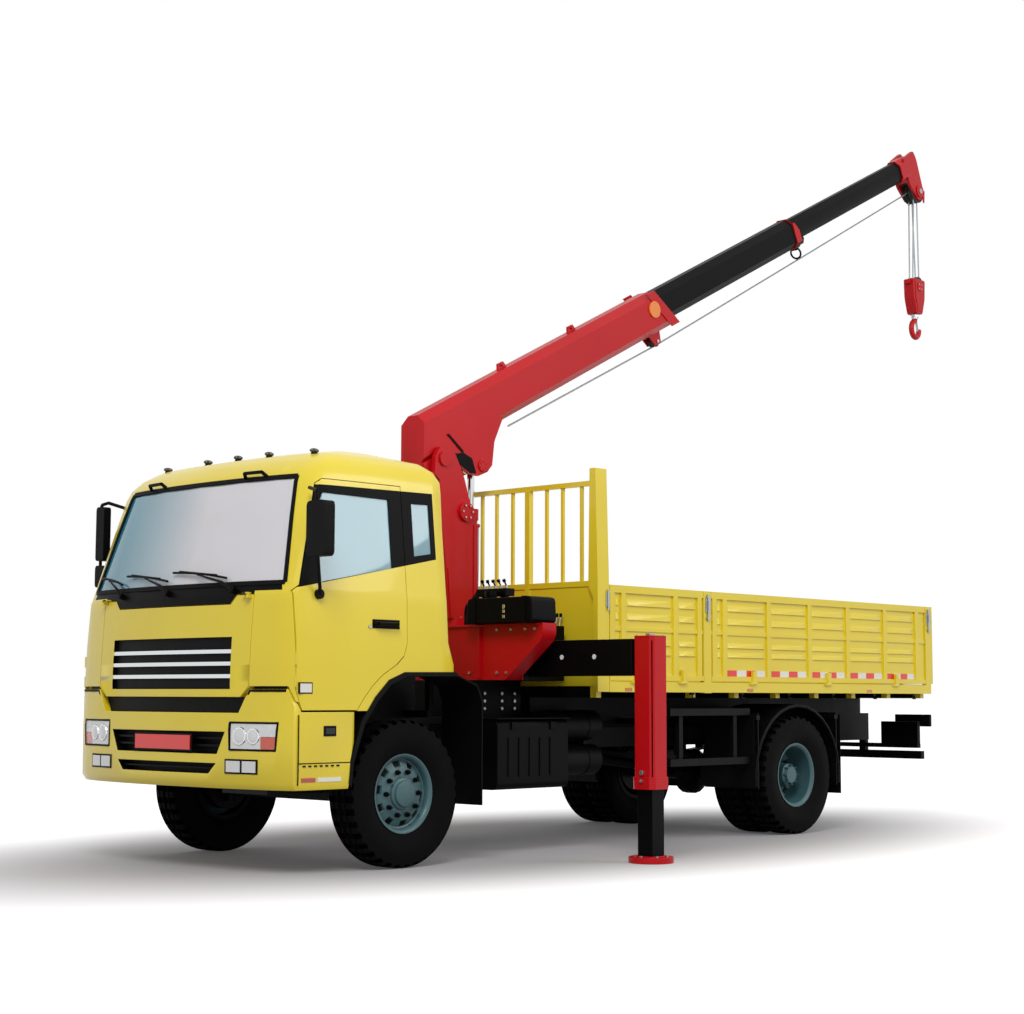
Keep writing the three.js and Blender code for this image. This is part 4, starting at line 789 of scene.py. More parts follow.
def band(bm, surface, route, width, lift, depth, material=0, step=0.04):
    """A strip of even width along a route on a surface."""
    points = [Vector(route[0])]
    for a, b in zip(route, route[1:]):
        a, b = Vector(a), Vector(b)
        count = max(1, int((b - a).length / step))
        points += [a.lerp(b, (i + 1) / count) for i in range(count)]
    rings = []
    for i, point in enumerate(points):
        before = (point - points[i - 1]) if i else (points[1] - point)
        after = (points[i + 1] - point) if i + 1 < len(points) else before
        along = (before.normalized() + after.normalized()).normalized()
        aside = Vector((-along.y, along.x)) * width / 2
        ring = []
        for spot, high in ((point + aside, lift), (point - aside, lift), (point - aside, lift - depth),
                           (point + aside, lift - depth)):
            place, out = surface(spot.x, spot.y)
            ring.append(place + out * high)
        rings.append(ring)
    skin(bm, rings, material)


def bolt_head(bm, place, out, size=0.014, material=0):
    """A hexagon head that stands out of a face."""
    place, out = Vector(place), Vector(out).normalized()
    round_bar(bm, place - out * 0.002, place + out * size * 0.8, size, 6, material=material)


def bolt_circle(bm, centre, ring, count, out, size, material=0, first=0.0, bare=(0, 0)):
    """Bolt heads evenly round a circle that faces along out, but none between two bare angles."""
    out = Vector(out).normalized()
    one, two = [axis for axis in AXES.values() if abs(axis.dot(out)) < 0.5]
    for i in range(count):
        turn = math.tau * (i + first) / count
        if not bare[0] < math.degrees(turn) < bare[1]:
            bolt_head(bm, Vector(centre) + (one * math.cos(turn) + two * math.sin(turn)) * ring, out, size, material)


def on_front(y, z, lift):
    """A point that stands off the cab's front."""
    place, out = cab_front(y, z)
    return place + out * lift


# ---------------------------------------------------------------- cab front
bm = bmesh.new()
patch(bm, cab_front, (-1.15, 1.15), (1.03, 1.315), -0.045, 0.012, across=24)
for height in (0.875, 0.925):
    patch(bm, cab_front, (-0.62, 0.62), (height - 0.007, height + 0.007), -0.03, 0.03, across=16, up=1)
patch(bm, cab_front, (-0.6, 0.6), (0.66, 0.99), -0.085, 0.01, across=16)
patch(bm, cab_front, (-0.53, 0.53), (0.716, 0.726), -0.03, 0.03, across=16, up=1)
for sign in (-1, 1):
    patch(bm, cab_front, (0.66 * sign, 1.16 * sign), (0.83, 1.05), -0.12, 0.01, across=6)
finished("front_liner_and_slats", bm, PLASTIC, "cab", 30)

bm = bmesh.new()
plate_face = on_front(0, 0.893, 0.0).x
block(bm, (plate_face - 0.002, -0.32, 0.843), (plate_face + 0.006, 0.32, 0.943))
finished("blank_plate", bm, RED_PLATE, "cab", 30, 0.002)
bm = bmesh.new()
block(bm, (plate_face - 0.012, -0.335, 0.832), (plate_face - 0.002, 0.335, 0.954))
for y in (-0.2, 0.2):
    block(bm, (plate_face - 0.09, y - 0.02, 0.87), (plate_face - 0.01, y + 0.02, 0.92))
finished("plate_holder", bm, PLASTIC, "cab", 30, 0.002)

BEAM_Z = 0.945                          # height of the headlamp's two beams
for side, sign in SIDES:
    bm = bmesh.new()
    patch(bm, cab_front, (0.705 * sign, 1.122 * sign), (0.850, 1.036), -0.05, 0.006)
    for y, radius in ((0.79, 0.078), (0.93, 0.07)):
        deep = on_front(y * sign, BEAM_Z, -0.05)
        round_bar(bm, deep, deep + Vector((0.03, 0, 0)), 0.03, 20, radius)
        round_bar(bm, deep, deep + Vector((0.022, 0, 0)), 0.014, 12, material=1)
    for route in closed([(y * sign, z) for y, z in ((0.705, 0.850), (0.700, 1.036), (1.122, 1.036), (1.108, 0.850))]):
        band(bm, cab_front, route, 0.012, 0.001, 0.05, 3)
    for near, far, heights, lift, depth, lens, across, up in (
            (0.715, 0.985, (0.858, 1.028), -0.004, 0.005, 1, 8, 3),
            (0.985, 1.112, (0.942, 1.028), -0.004, 0.005, 1, 4, 2),
            (0.985, 1.104, (0.858, 0.940), -0.003, 0.012, 2, 4, 2)):
        patch(bm, cab_front, (near * sign, far * sign), heights, lift, depth, lens, across, up)
    for y, radius in ((0.80, 0.062), (0.925, 0.055)):
        place, out = cab_front(y * sign, BEAM_Z)
        round_bar(bm, place - out * 0.004, place + out * 0.0035, radius, 28, radius * 0.94)
        round_bar(bm, place + out * 0.003, place + out * 0.0045, radius * 0.86, 28, radius * 0.8, 1)
    # the wide dark joint between the panel, the cab's corner and the bumper's top edge
    band(bm, cab_front, [(0.795 * sign, 1.105), (0.884 * sign, 1.252), (1.178 * sign, 1.252)], 0.018, 0.006, 0.02, 3)
    finished(f"headlamp_{side}", bm, [CHROME, LENS_CLEAR, LENS_SIGNAL, PLASTIC], "cab", 30)

    bm = bmesh.new()
    patch(bm, cab_front, (0.665 * sign, 0.965 * sign), (0.688, 0.788), 0.0015, 0.012, 3, 8, 2)
    for near, far in ((0.68, 0.81), (0.83, 0.95)):
        patch(bm, cab_front, (near * sign, far * sign), (0.70, 0.776), 0.005, 0.006, 1, 4, 2)
    finished(f"fog_lamp_{side}", bm, [CHROME, LENS_CLEAR, LENS_AMBER, PLASTIC], "cab", 30)

    bm = bmesh.new()
    flank = cab_side(sign)
    for lengths, heights, lift, depth, finish, up in (
            ((0.985, 1.085), (1.240, 1.300), 0.006, 0.012, 5, 2), ((0.975, 1.095), (1.232, 1.308), 0.002, 0.008, 3, 2),
            ((0.76, 0.87), (0.945, 1.015), 0.004, 0.012, 3, 2), ((0.775, 0.855), (0.96, 1.0), 0.009, 0.006, 6, 2),
            ((0.94, 1.06), (0.640, 0.668), 0.003, 0.006, 4, 1), ((0.71, 0.92), (0.640, 0.668), 0.003, 0.006, 5, 1)):
        patch(bm, flank, lengths, heights, lift, depth, finish, 4, up)
    finished(f"side_lamps_{side}", bm, [CHROME, LENS_CLEAR, LENS_AMBER, PLASTIC, LENS_RED, WHITE, GREY_PLASTIC],
             "cab", 30)

    # step below the door: the ribs of its tread and the seams round it
    bm = bmesh.new()
    for x in (0.74, 0.79, 0.84, 0.89, 0.94, 0.99, 1.04):
        patch(bm, flank, (x - 0.012, x + 0.012), (0.742, 0.752), 0.006, 0.01, 0, 1, 1)
    for seam in ([(1.09, 1.09), (1.09, 0.62)], [(0.62, 0.765), (1.09, 0.765)]):
        band(bm, flank, seam, 0.007, 0.0012, 0.004)
    finished(f"step_tread_{side}", bm, PLASTIC, "cab", 30)

    # door handle, its recess and the lock
    bm = bmesh.new()
    patch(bm, flank, (0.17, 0.43), (1.688, 1.752), 0.0015, 0.004, 0, 8, 2)
    ends = [flank(x, 1.722)[0] + Vector((0, sign * lift, 0)) for x, lift in (
        (0.42, 0.004), (0.40, 0.034), (0.22, 0.038), (0.19, 0.004))]
    chain(bm, ends, 0.013, 10)
    lock = flank(0.455, 1.700)
    round_bar(bm, lock[0], lock[0] + Vector((0, 0.008 * sign, 0)), 0.013, 16, material=1)
    finished(f"door_handle_{side}", bm, [BLACK, STEEL], f"{side}_door", 35)

    # mirror glass looks to the rear
    bm = bmesh.new()
    if sign > 0:
        block(bm, (0.992, 1.303, 2.20), (1.001, 1.457, 2.51))
        block(bm, (0.996, 1.297, 2.163), (1.001, 1.463, 2.19))
    else:
        block(bm, (0.892, -1.353, 2.265), (0.901, -1.274, 2.655))
        block(bm, (0.892, -1.353, 2.06), (0.901, -1.274, 2.20))
    finished(f"mirror_glass_{side}", bm, MIRROR, f"{side}_door", 30, 0.002)

# windscreen rubber and the three wipers, parked towards the far side
bm = bmesh.new()
for route in closed([(-1.105, 1.985), (-0.96, 2.742), (0.96, 2.742), (1.105, 1.985)]):
    band(bm, cab_front, route, 0.03, 0.004, 0.012)
finished("windscreen_rubber", bm, RUBBER, "cab", 50)
bm = bmesh.new()
WIPER_Z = 1.935
for pivot, tip, heel in ((-0.62, -1.02, -0.66), (-0.02, -0.62, -0.06), (0.68, -0.02, 0.58)):
    round_bar(bm, on_front(pivot, WIPER_Z, 0.0), on_front(pivot, WIPER_Z, 0.04), 0.022, 14)
    middle = on_front((tip + heel) / 2, 2.055, 0.034)
    knee = on_front(pivot * 0.75 + (tip + heel) / 8, 1.985, 0.045)
    round_bar(bm, on_front(pivot, WIPER_Z, 0.034), knee, 0.010, 8)
    round_bar(bm, knee, middle, 0.010, 8, 0.006)
    blade = [on_front(tip + (heel - tip) * t, 2.085 - 0.06 * t + 0.012 * math.sin(math.pi * t), 0.016)
             for t in (i / 8 for i in range(9))]
    chain(bm, blade, 0.0085, 6)
    bow = [on_front(tip + (heel - tip) * t, 2.085 - 0.06 * t + 0.012, 0.03) for t in (0.15, 0.4, 0.6, 0.85)]
    chain(bm, bow, 0.005, 6)
finished("wipers", bm, BLACK, "cab", 40)

shell = bmesh.new()
shell.from_mesh(nodes["cab_shell"].data)
SHELL_FACES = BVHTree.FromBMesh(shell)
shell.free()


def roof_height(x, y):
    """The height of the cab's roof over a place."""
    return SHELL_FACES.ray_cast(Vector((x, y, 4)) + TRUCK, Vector((0, 0, -1)))[0].z - TRUCK.z


bm = bmesh.new()
for y in (-0.86, -0.36, 0.0, 0.36, 0.86):
    base = roof_height(0.66, y)
    round_bar(bm, (0.665, y, base - 0.01), (0.66, y, base + 0.016), 0.026, 16, 0.021)
    lens = Matrix.Translation((0.662, y, base + 0.022)) @ Matrix.Diagonal((1.7, 1, 0.75, 1))
    painted(bmesh.ops.create_uvsphere(bm, u_segments=16, v_segments=8, radius=0.024, matrix=lens)["verts"], 1)
finished("roof_marker_lamps", bm, [PLASTIC, LENS_DARK], "cab", 45)

bm = bmesh.new()
for y in (-0.575, 0.575):
    feet = [cab_front(y + dy, 2.755)[0] for dy in (-0.105, 0.105)]
    top = [cab_front(y + dy, 2.765)[0] + Vector((0.035, 0, 0.02)) for dy in (-0.085, 0.085)]
    chain(bm, [feet[0], *top, feet[1]], 0.013, 10)
finished("front_grab_handles", bm, BLACK, "cab", 50)

# arch liner of black plastic behind the yellow edge of each front arch
ARCH_LINE = [(0.635, 0.62), (0.617, 0.78), (0.518, 1.047), (0.397, 1.206), (0.268, 1.325), (0.116, 1.381),
             (-0.40, 1.387)]
ARCH_SECTION = ((0.64, 0, 0), (1.236, 0, 0), (1.244, 0.006, 0.006), (1.244, -0.022, -0.024), (1.23, -0.026, -0.028),
                (1.22, -0.012, -0.012), (0.64, -0.012, -0.012))
for side, sign in SIDES:
    bm = bmesh.new()
    skin(bm, [[(x + dx, y * sign, z + dz) for y, dx, dz in ARCH_SECTION] for x, z in ARCH_LINE])
    block(bm, (-0.56, 0.634 * sign, 1.05), (0.60, 0.640 * sign, 1.40))
    finished(f"arch_liner_{side}", bm, PLASTIC, "cab", 40)

# ---------------------------------------------------------------- boom: trim in the boom's own level drawing
RISING = Matrix.Rotation(RISE, 4, "Y")


def boomwise(bm):
    """Turns a bmesh drawn level, with the boom pointing to -X, up to the boom's angle in the truck's frame."""
    bmesh.ops.transform(bm, matrix=Matrix.Translation(PIVOT) @ RISING, verts=bm.verts)


def sheave(bm, centre, radius, width, hub, pin=None):
    """A grooved rope wheel across the truck."""
    half = width / 2
    profile = [(hub, -half), (radius, -half), (radius, -half * 0.7), (radius * 0.84, -half * 0.25),
               (radius * 0.84, half * 0.25), (radius, half * 0.7), (radius, half), (hub, half)]
    made = bmesh.new()
    spun(made, profile, centre, steps=36)
    join_into(bm, made)
    if pin:
        x, y, z = centre
        cross_bar(bm, x, z, y - pin, y + pin, hub * 1.02, 16, 1)


# base section: lifting lugs on top, end collar, guide sheave bracket below, pin caps and blank discs
BOOM_SIDE = 0.1345
PIN_CAP_X, PIN_CAP_Z = -0.634, -0.231
bm = bmesh.new()
for lx in (-1.36, -2.37):
    plate(bm, [(lx - 0.06, 0.39), (lx + 0.06, 0.39), (lx + 0.035, 0.447), (lx - 0.035, 0.447)], "y", -0.012, 0.012)
    cross_bar(bm, lx, 0.424, -0.03, 0.03, 0.012, 12)
for y in (1, -1):
    plate(bm, [(-3.37, 0.40), (-3.50, 0.40), (-3.74, 0.012), (-3.61, 0.012)], "y",
          BOOM_SIDE * y, (BOOM_SIDE + 0.01) * y)
    plate(bm, [(-3.34, 0.012), (-3.52, 0.012), (-3.49, -0.10), (-3.40, -0.10)], "y", 0.040 * y, 0.052 * y)
for y in (-0.1355, 0.1355):
    cross_bar(bm, PIN_CAP_X, PIN_CAP_Z, y * 0.98, y * 1.09, 0.052)
    bolt_circle(bm, (PIN_CAP_X, y * 1.09, PIN_CAP_Z), 0.036, 6, (0, y, 0), 0.007)
    cross_bar(bm, -0.1905, 0, y * 0.98, y * 1.02, 0.075, 28)
boomwise(bm)
finished("boom_lugs_and_collar", bm, RED, "boom", 35, 0.002)
bm = bmesh.new()
for y in (1, -1):
    cross_bar(bm, -3.43, 0.235, BOOM_SIDE * y, (BOOM_SIDE + 0.014) * y, 0.078, 32)
boomwise(bm)
finished("blank_disc", bm, ORANGE, "boom", 35, 0.001)
bm = bmesh.new()
sheave(bm, (-3.445, 0, -0.07), 0.05, 0.06, 0.016, pin=0.062)
for x in (-3.30, -2.6, -1.9, -1.25):
    block(bm, (x - 0.02, -0.06, 0.0), (x + 0.02, -0.03, 0.014))
boomwise(bm)
finished("boom_guide_sheave", bm, [CAST, STEEL], "boom", 35)

# gusset: a thin black plate on each side, painted shade for the hollow in the gusset, with a black rib
bm = bmesh.new()
for y in (-1, 1):
    plate(bm, [(-0.338, -0.065), (-0.37, -0.02), (-0.47, -0.05), (-0.545, -0.13), (-0.535, -0.262), (-0.468, -0.232)],
          "y", 0.1352 * y, 0.1364 * y)
    plate(bm, [(-0.355, 0.155), (-0.375, 0.155), (-0.475, -0.04), (-0.455, -0.045)], "y", 0.1352 * y, 0.143 * y)
boomwise(bm)
finished("gusset_painted_shade", bm, BLACK, "boom", 35)

# middle section: ring for the rope under its collar
bm = bmesh.new()
spun(bm, [(0.058 + 0.011 * math.cos(a), 0.011 * math.sin(a)) for a in (0, 1.05, 2.09, 3.14, 4.19, 5.24)],
     (-6.13, 0, 0.0), axis=(1, 0, 0), steps=28)
plate(bm, [(-6.10, 0.058), (-6.16, 0.058), (-6.145, 0.03), (-6.115, 0.03)], "y", -0.03, 0.03)
boomwise(bm)
finished("rope_ring", bm, BLACK, "boom_middle", 40)

# boom head: sheaves on the head pin, side bosses and rope anchor
bm = bmesh.new()
for y in (-0.04, 0.04):
    sheave(bm, (HEAD_X, y, HEAD_Z), 0.125, 0.045, 0.03)
cross_bar(bm, HEAD_X, HEAD_Z, -0.112, 0.112, 0.03, 20, 1)
for y in (-1, 1):
    bolt_circle(bm, (HEAD_X, 0.093 * y, HEAD_Z), 0.045, 5, (0, y, 0), 0.009, 1)
finished("head_sheaves", bm, [CAST, STEEL], "boom_tip", 35)
bm = bmesh.new()
for y in (-1, 1):
    cross_bar(bm, HEAD_X, HEAD_Z, 0.0918 * y, 0.104 * y, 0.072, 28)
    plate(bm, [(HEAD_X - 0.10, HEAD_Z + 0.02), (HEAD_X - 0.05, HEAD_Z + 0.02), (HEAD_X - 0.06, HEAD_Z - 0.12),
               (HEAD_X - 0.09, HEAD_Z - 0.12)], "y", 0.0918 * y, 0.099 * y)
finished("head_bosses", bm, RED, "boom_tip", 35, 0.002)


# hoist rope under the boom
def rope_run(start_point, end_point, radius, count, sag):
    """A rope between two points, sag metres low in its middle."""
    made = bmesh.new()
    side_way = AXES["y"]
    up = (end_point - start_point).normalized().cross(side_way).normalized()
    rings = []
    for i in range(count + 1):
        t = i / count
        spot = start_point.lerp(end_point, t) - Vector((0, 0, sag * 4 * t * (1 - t)))
        rings.append([spot + (side_way * math.cos(k) + up * math.sin(k)) * radius
                      for k in (0, 0.785, 1.571, 2.356, 3.142, 3.927, 4.712, 5.498)])
    skin(made, rings)
    return made


ROPE_RADIUS = 0.008
rope_start = Vector((-2.25, 0, 3.525))
guide = PIVOT + RISING.to_3x3() @ Vector((-3.445, 0, -0.112))
far_end = Vector((-8.82, 0, 6.90))
finished("hoist_rope_base", rope_run(rope_start, guide, ROPE_RADIUS, 6, 0.0), ROPE, "boom", 60)
rope = finished("hoist_rope_run", rope_run(guide, far_end, ROPE_RADIUS, 24, 0.004), ROPE, "boom", 60)
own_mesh(rope)

# winch between the cheeks, with its motor, and the slew ring's bolts
bm = bmesh.new()
for y in (-0.125, 0.105):
    cross_bar(bm, WINCH_X, WINCH_Z, y, y + 0.02, 0.125, 28)
cross_bar(bm, WINCH_X, WINCH_Z, -0.12, 0.12, 0.075, 24, 1)
for i in range(15):
    made = bmesh.new()
    spun(made, [(0.085 + 0.0075 * math.cos(a), 0.0075 * math.sin(a)) for a in (0, 1.57, 3.14, 4.71)],
         (WINCH_X, -0.098 + i * 0.014, WINCH_Z), steps=28)
    painted(made.verts, 2)
    join_into(bm, made)
finished("winch_drum", bm, [RED, STEEL, ROPE], "column", 35)
bm = bmesh.new()
cross_bar(bm, WINCH_X, WINCH_Z, -0.19, -0.27, 0.07)
cross_bar(bm, WINCH_X, WINCH_Z, -0.27, -0.33, 0.05, 6)
cross_bar(bm, WINCH_X, WINCH_Z, 0.19, 0.215, 0.08)
for y in (-0.265, 0.22):
    bolt_circle(bm, (WINCH_X, y, WINCH_Z), 0.055, 6, (0, y, 0), 0.01, 1)
finished("winch_motor", bm, [RED, STEEL], "column", 35, 0.002)
bm = bmesh.new()
bolt_circle(bm, (SLEW_X, 0, 1.85), 0.232, 24, AXES["z"], 0.012, bare=(150, 210))
finished("slew_ring_bolts", bm, STEEL, "column", 35)
bm = bmesh.new()
for y in (-1, 1):
    cross_bar(bm, -1.3, 3.136, 0.19 * y, 0.207 * y, 0.062)
    cross_bar(bm, CYLINDER_FOOT.x, CYLINDER_FOOT.z, 0.19 * y, 0.203 * y, 0.048, 20)
    plate(bm, [(-1.665, 1.86), (-1.64, 1.86), (-1.64, 2.62), (-1.665, 2.60)], "y", 0.1895 * y, 0.199 * y)
    plate(bm, [(-1.40, 1.86), (-1.375, 1.86), (-1.342, 2.25), (-1.366, 2.25)], "y", 0.1895 * y, 0.199 * y)
finished("column_bosses_and_ribs", bm, RED, "column", 35, 0.002)
pipe("column_pipes", [
    [(-1.41 + dx, -0.205, 1.86), (-1.405 + dx, -0.205, 2.2), (-1.40 + dx, -0.205, 2.5), (-1.47 + dx, -0.205, 2.62)]
    for dx in (-0.06, -0.10, -0.14)], 0.011, BLACK, "column")
bm = bmesh.new()
for z in (2.0, 2.3):
    block(bm, (-1.57, -0.1895, z - 0.015), (-1.43, -0.219, z + 0.015))
finished("column_pipe_clamps", bm, STEEL, "column", 35, 0.002)

# cylinder: gland at the top, ports and the pipe along the barrel
def along_barrel(distance, x=0.0):
    """A point up the cylinder's axis, and x metres ahead of it."""
    return CYLINDER_FOOT + CYLINDER_AXIS * distance + Vector((x, 0, 0))


bm = bmesh.new()
round_bar(bm, along_barrel(0.80), along_barrel(0.893), 0.070, 28)
for t in (0.14, 0.76):
    round_bar(bm, along_barrel(t, -0.05), along_barrel(t, -0.105), 0.018, 10)
finished("cylinder_gland", bm, RED, "luff_barrel", 35, 0.003)
pipe("cylinder_pipe", [[along_barrel(0.14, -0.097), along_barrel(0.45, -0.100), along_barrel(0.76, -0.097)]],
     0.01, STEEL, "luff_barrel")

# ---------------------------------------------------------------- hook block and hook
bm = bmesh.new()
for y in (-1, 1):
    cross_bar(bm, HEAD_X, 5.83, 0.0645 * y, 0.078 * y, 0.052)
    bolt_circle(bm, (HEAD_X, 0.078 * y, 5.83), 0.035, 4, (0, y, 0), 0.008, 1, first=0.5)
    plate(bm, [(HEAD_X - 0.095, 5.90), (HEAD_X + 0.095, 5.90), (HEAD_X + 0.08, 5.70), (HEAD_X + 0.035, 5.55),
               (HEAD_X - 0.035, 5.55), (HEAD_X - 0.08, 5.70)], "y", 0.0645 * y, 0.071 * y)
for x in (HEAD_X - 0.141, HEAD_X + 0.141):
    block(bm, (x - 0.019, -0.03, 5.855), (x + 0.019, 0.03, 5.905))
finished("block_cheeks", bm, [RED, STEEL], "block", 35, 0.002)
bm = bmesh.new()
for y in (-0.04, 0.04):
    sheave(bm, (HEAD_X, y, 5.85), 0.098, 0.035, 0.024)
finished("block_sheaves", bm, CAST, "block", 35)
bm = bmesh.new()
upright(bm, HEAD_X, 0, 5.519, 5.492, 0.045, 6)
upright(bm, HEAD_X, 0, 5.492, 5.47, 0.038, 20)
plate(bm, [(HEAD_X - 0.032, 5.44), (HEAD_X - 0.018, 5.44), (HEAD_X - 0.045, 5.335), (HEAD_X - 0.06, 5.335)],
      "y", -0.012, 0.012)
finished("hook_nut_and_latch", bm, STEEL, "hook_body", 35, 0.001)

# ---------------------------------------------------------------- crane base, tank, controls, beams
bm = bmesh.new()
BASE_FRONT = -1.290
for y in (-0.62, -0.2, 0.2, 0.62):
    block(bm, (BASE_FRONT, y - 0.008, 1.36), (-1.262, y + 0.008, 1.76))
block(bm, (BASE_FRONT, -1.25, 1.762), (-1.268, 1.25, 1.779))
for side, sign in SIDES:
    for y, z in ((1.20, 1.735), (1.10, 1.735), (0.95, 1.735), (0.80, 1.735), (0.90, 1.40), (0.80, 1.40), (0.50, 1.40)):
        bolt_head(bm, (BASE_FRONT, y * sign, z), AXES["x"], 0.014, 1)
    for z in (1.12, 1.18, 1.24):
        for x in (-1.36, -1.5, -1.7, -1.85):
            bolt_head(bm, (x, 0.455 * sign, z), (0, sign, 0), 0.015, 1)
finished("base_ribs_and_bolts", bm, [RED, STEEL], "chassis", 35, 0.002)

bm = bmesh.new()
upright(bm, -1.24, 0.78, 1.975, 2.0, 0.045, 24)
upright(bm, -1.24, 0.78, 2.0, 2.035, 0.052, 24)
long_bar(bm, 0.98, 1.90, -1.169, -1.166, 0.012, 16, 1)
for z in (1.83, 1.87, 1.91):
    block(bm, (-1.1695, 0.968, z - 0.012), (-1.1665, 0.992, z + 0.012), 1)
for y in (0.66, 1.19):
    block(bm, (-1.455, y - 0.02, 1.775), (-1.165, y + 0.02, 1.786))
    block(bm, (-1.1685, y - 0.02, 1.786), (-1.164, y + 0.02, 1.975))
    block(bm, (-1.455, y - 0.02, 1.978), (-1.165, y + 0.02, 1.984))
finished("oil_tank_fittings", bm, [BLACK, CHROME], "chassis", 35, 0.002)

# control valve bank between tank and column, with its levers and hoses
bm = bmesh.new()
block(bm, (-1.40, 0.56, 2.0), (-1.30, 0.88, 2.06))
for y in (0.60, 0.80):
    block(bm, (-1.38, y, 1.979), (-1.32, y + 0.04, 2.0))
for i in range(5):
    y = 0.60 + i * 0.06
    upright(bm, -1.35, y, 2.055, 2.085, 0.014, 12, 1)
    round_bar(bm, (-1.35, y, 2.08), (-1.325, y, 2.115), 0.007, 8)
    round_bar(bm, (-1.327, y, 2.11), (-1.318, y, 2.13), 0.014, 12)
finished("valve_bank", bm, [BLACK, STEEL], "chassis", 35, 0.002)
pipe("base_pipes", [
    [(-1.36, 0.565, 2.03), (-1.38, 0.50 - drop, 2.05 - drop), (-1.42, 0.42 - drop, 1.93), (-1.43, 0.40 - drop, 1.79)]
    for drop in (i * 0.03 for i in range(4))], 0.011, RUBBER, "chassis")
bm = bmesh.new()
for side, sign in SIDES:
    block(bm, (-1.96, 0.62 * sign, 1.40), (-1.93, 0.90 * sign, 1.76))
    for i in range(6):
        y = (0.66 + i * 0.04) * sign
        round_bar(bm, (-1.945, y, 1.76), (-1.965, y, 1.86), 0.006, 8, material=1)
        round_bar(bm, (-1.965, y, 1.855), (-1.968, y, 1.885), 0.012, 12)
finished("side_controls", bm, [BLACK, STEEL], "chassis", 35, 0.002)

# beams: white marks; legs: cap and hose ports; jacks: the foot's bolts
bm = bmesh.new()
for y in (1.27, 1.60):
    long_bar(bm, y, 1.52, -1.5215, -1.5175, 0.019, 20)
finished("beam_marks", bm, WHITE, "left_outrigger", 35)
for side, leg_y in LEG_Y.items():
    bm = bmesh.new()
    plate(bm, [(LEG_X + dx, leg_y + dy) for dx, dy in (
        (0.068, 0.098), (-0.068, 0.098), (-0.098, 0.068), (-0.098, -0.068), (-0.068, -0.098), (0.068, -0.098),
        (0.098, -0.068), (0.098, 0.068))], "z", 1.660, 1.672)
    upright(bm, LEG_X, leg_y, 1.672, 1.690, 0.035, 6, 1)
    long_bar(bm, leg_y, 0.66, -1.518, -1.500, 0.018, 12, 1)
    long_bar(bm, leg_y, 0.60, -1.516, -1.490, 0.012, 12, 1)
    for dx, dy in ((0.07, 0.07), (0.07, -0.07), (-0.07, 0.07), (-0.07, -0.07)):
        bolt_head(bm, (LEG_X + dx, leg_y + dy, 1.672), AXES["z"], 0.009, 1)
    finished(f"leg_cap_{side}", bm, [RED, STEEL], f"{side}_outrigger", 35, 0.002)
    bm = bmesh.new()
    bolt_circle(bm, (LEG_X, leg_y, 0.045), 0.118, 6, AXES["z"], 0.012)
    finished(f"foot_bolts_{side}", bm, STEEL, f"{side}_jack", 35)

# ---------------------------------------------------------------- bed: pressings, tape, latches, hooks, lamps
FRONT_BAYS = ((-2.150, -2.293), (-2.293, -2.968), (-2.968, -3.294))
REAR_BAYS = ((-3.500, -3.646), (-3.646, -4.292), (-4.292, -4.928), (-4.928, -5.552), (-5.552, -6.192), (-6.192, -6.771))
GATE_FACE = 1.234
POST_FACE = 1.249
GATE_RIBS = ((1.945, 2.005), (1.83, 1.89), (1.63, 1.68), (1.55, 1.60))


def louvre(bm, x_from, x_to, low, high, y, sign):
    """A pressed rib, flush along its top and standing out along its bottom edge."""
    proud = 0.013 * sign
    inner = y - 0.002 * sign
    corners = [(x_from, inner, high), (x_to, inner, high), (x_to, inner, low), (x_from, inner, low),
               (x_from - 0.02, y + proud * 0.2, high - 0.006), (x_to + 0.02, y + proud * 0.2, high - 0.006),
               (x_to + 0.02, y + proud, low + 0.006), (x_from - 0.02, y + proud, low + 0.006)]
    verts = [bm.verts.new(c) for c in corners]
    made = [bm.faces.new([verts[k] for k in quad]) for quad in (
        (0, 1, 2, 3), (4, 5, 6, 7), (0, 1, 5, 4), (3, 2, 6, 7), (0, 3, 7, 4), (1, 2, 6, 5))]
    bmesh.ops.recalc_face_normals(bm, faces=made)


def gate_trim(gate, bays, body, sign, taped):
    """The pressed ribs in a gate's bays and, on a taped gate, red and white tape under its wide bays."""
    bm = bmesh.new()
    tape = bmesh.new()
    for a, b in bays:
        start_x, end_x = a - 0.045, b + 0.045
        for low, high in GATE_RIBS:
            louvre(bm, start_x, end_x, low, high, GATE_FACE * sign, sign)
        if taped and start_x - end_x > 0.2:
            wide = (start_x - end_x) / 4
            for i in range(4):
                x = start_x - wide * i
                block(tape, (x - 0.004, 1.2335 * sign, 1.394), (x - wide + 0.004, 1.2362 * sign, 1.446), i % 2)
    finished(f"{gate}_pressings", bm, YELLOW, body, 35, 0.003)
    if taped:
        finished(f"{gate}_tape", tape, [RED_PLATE, WHITE], body, 35)
    else:
        tape.free()


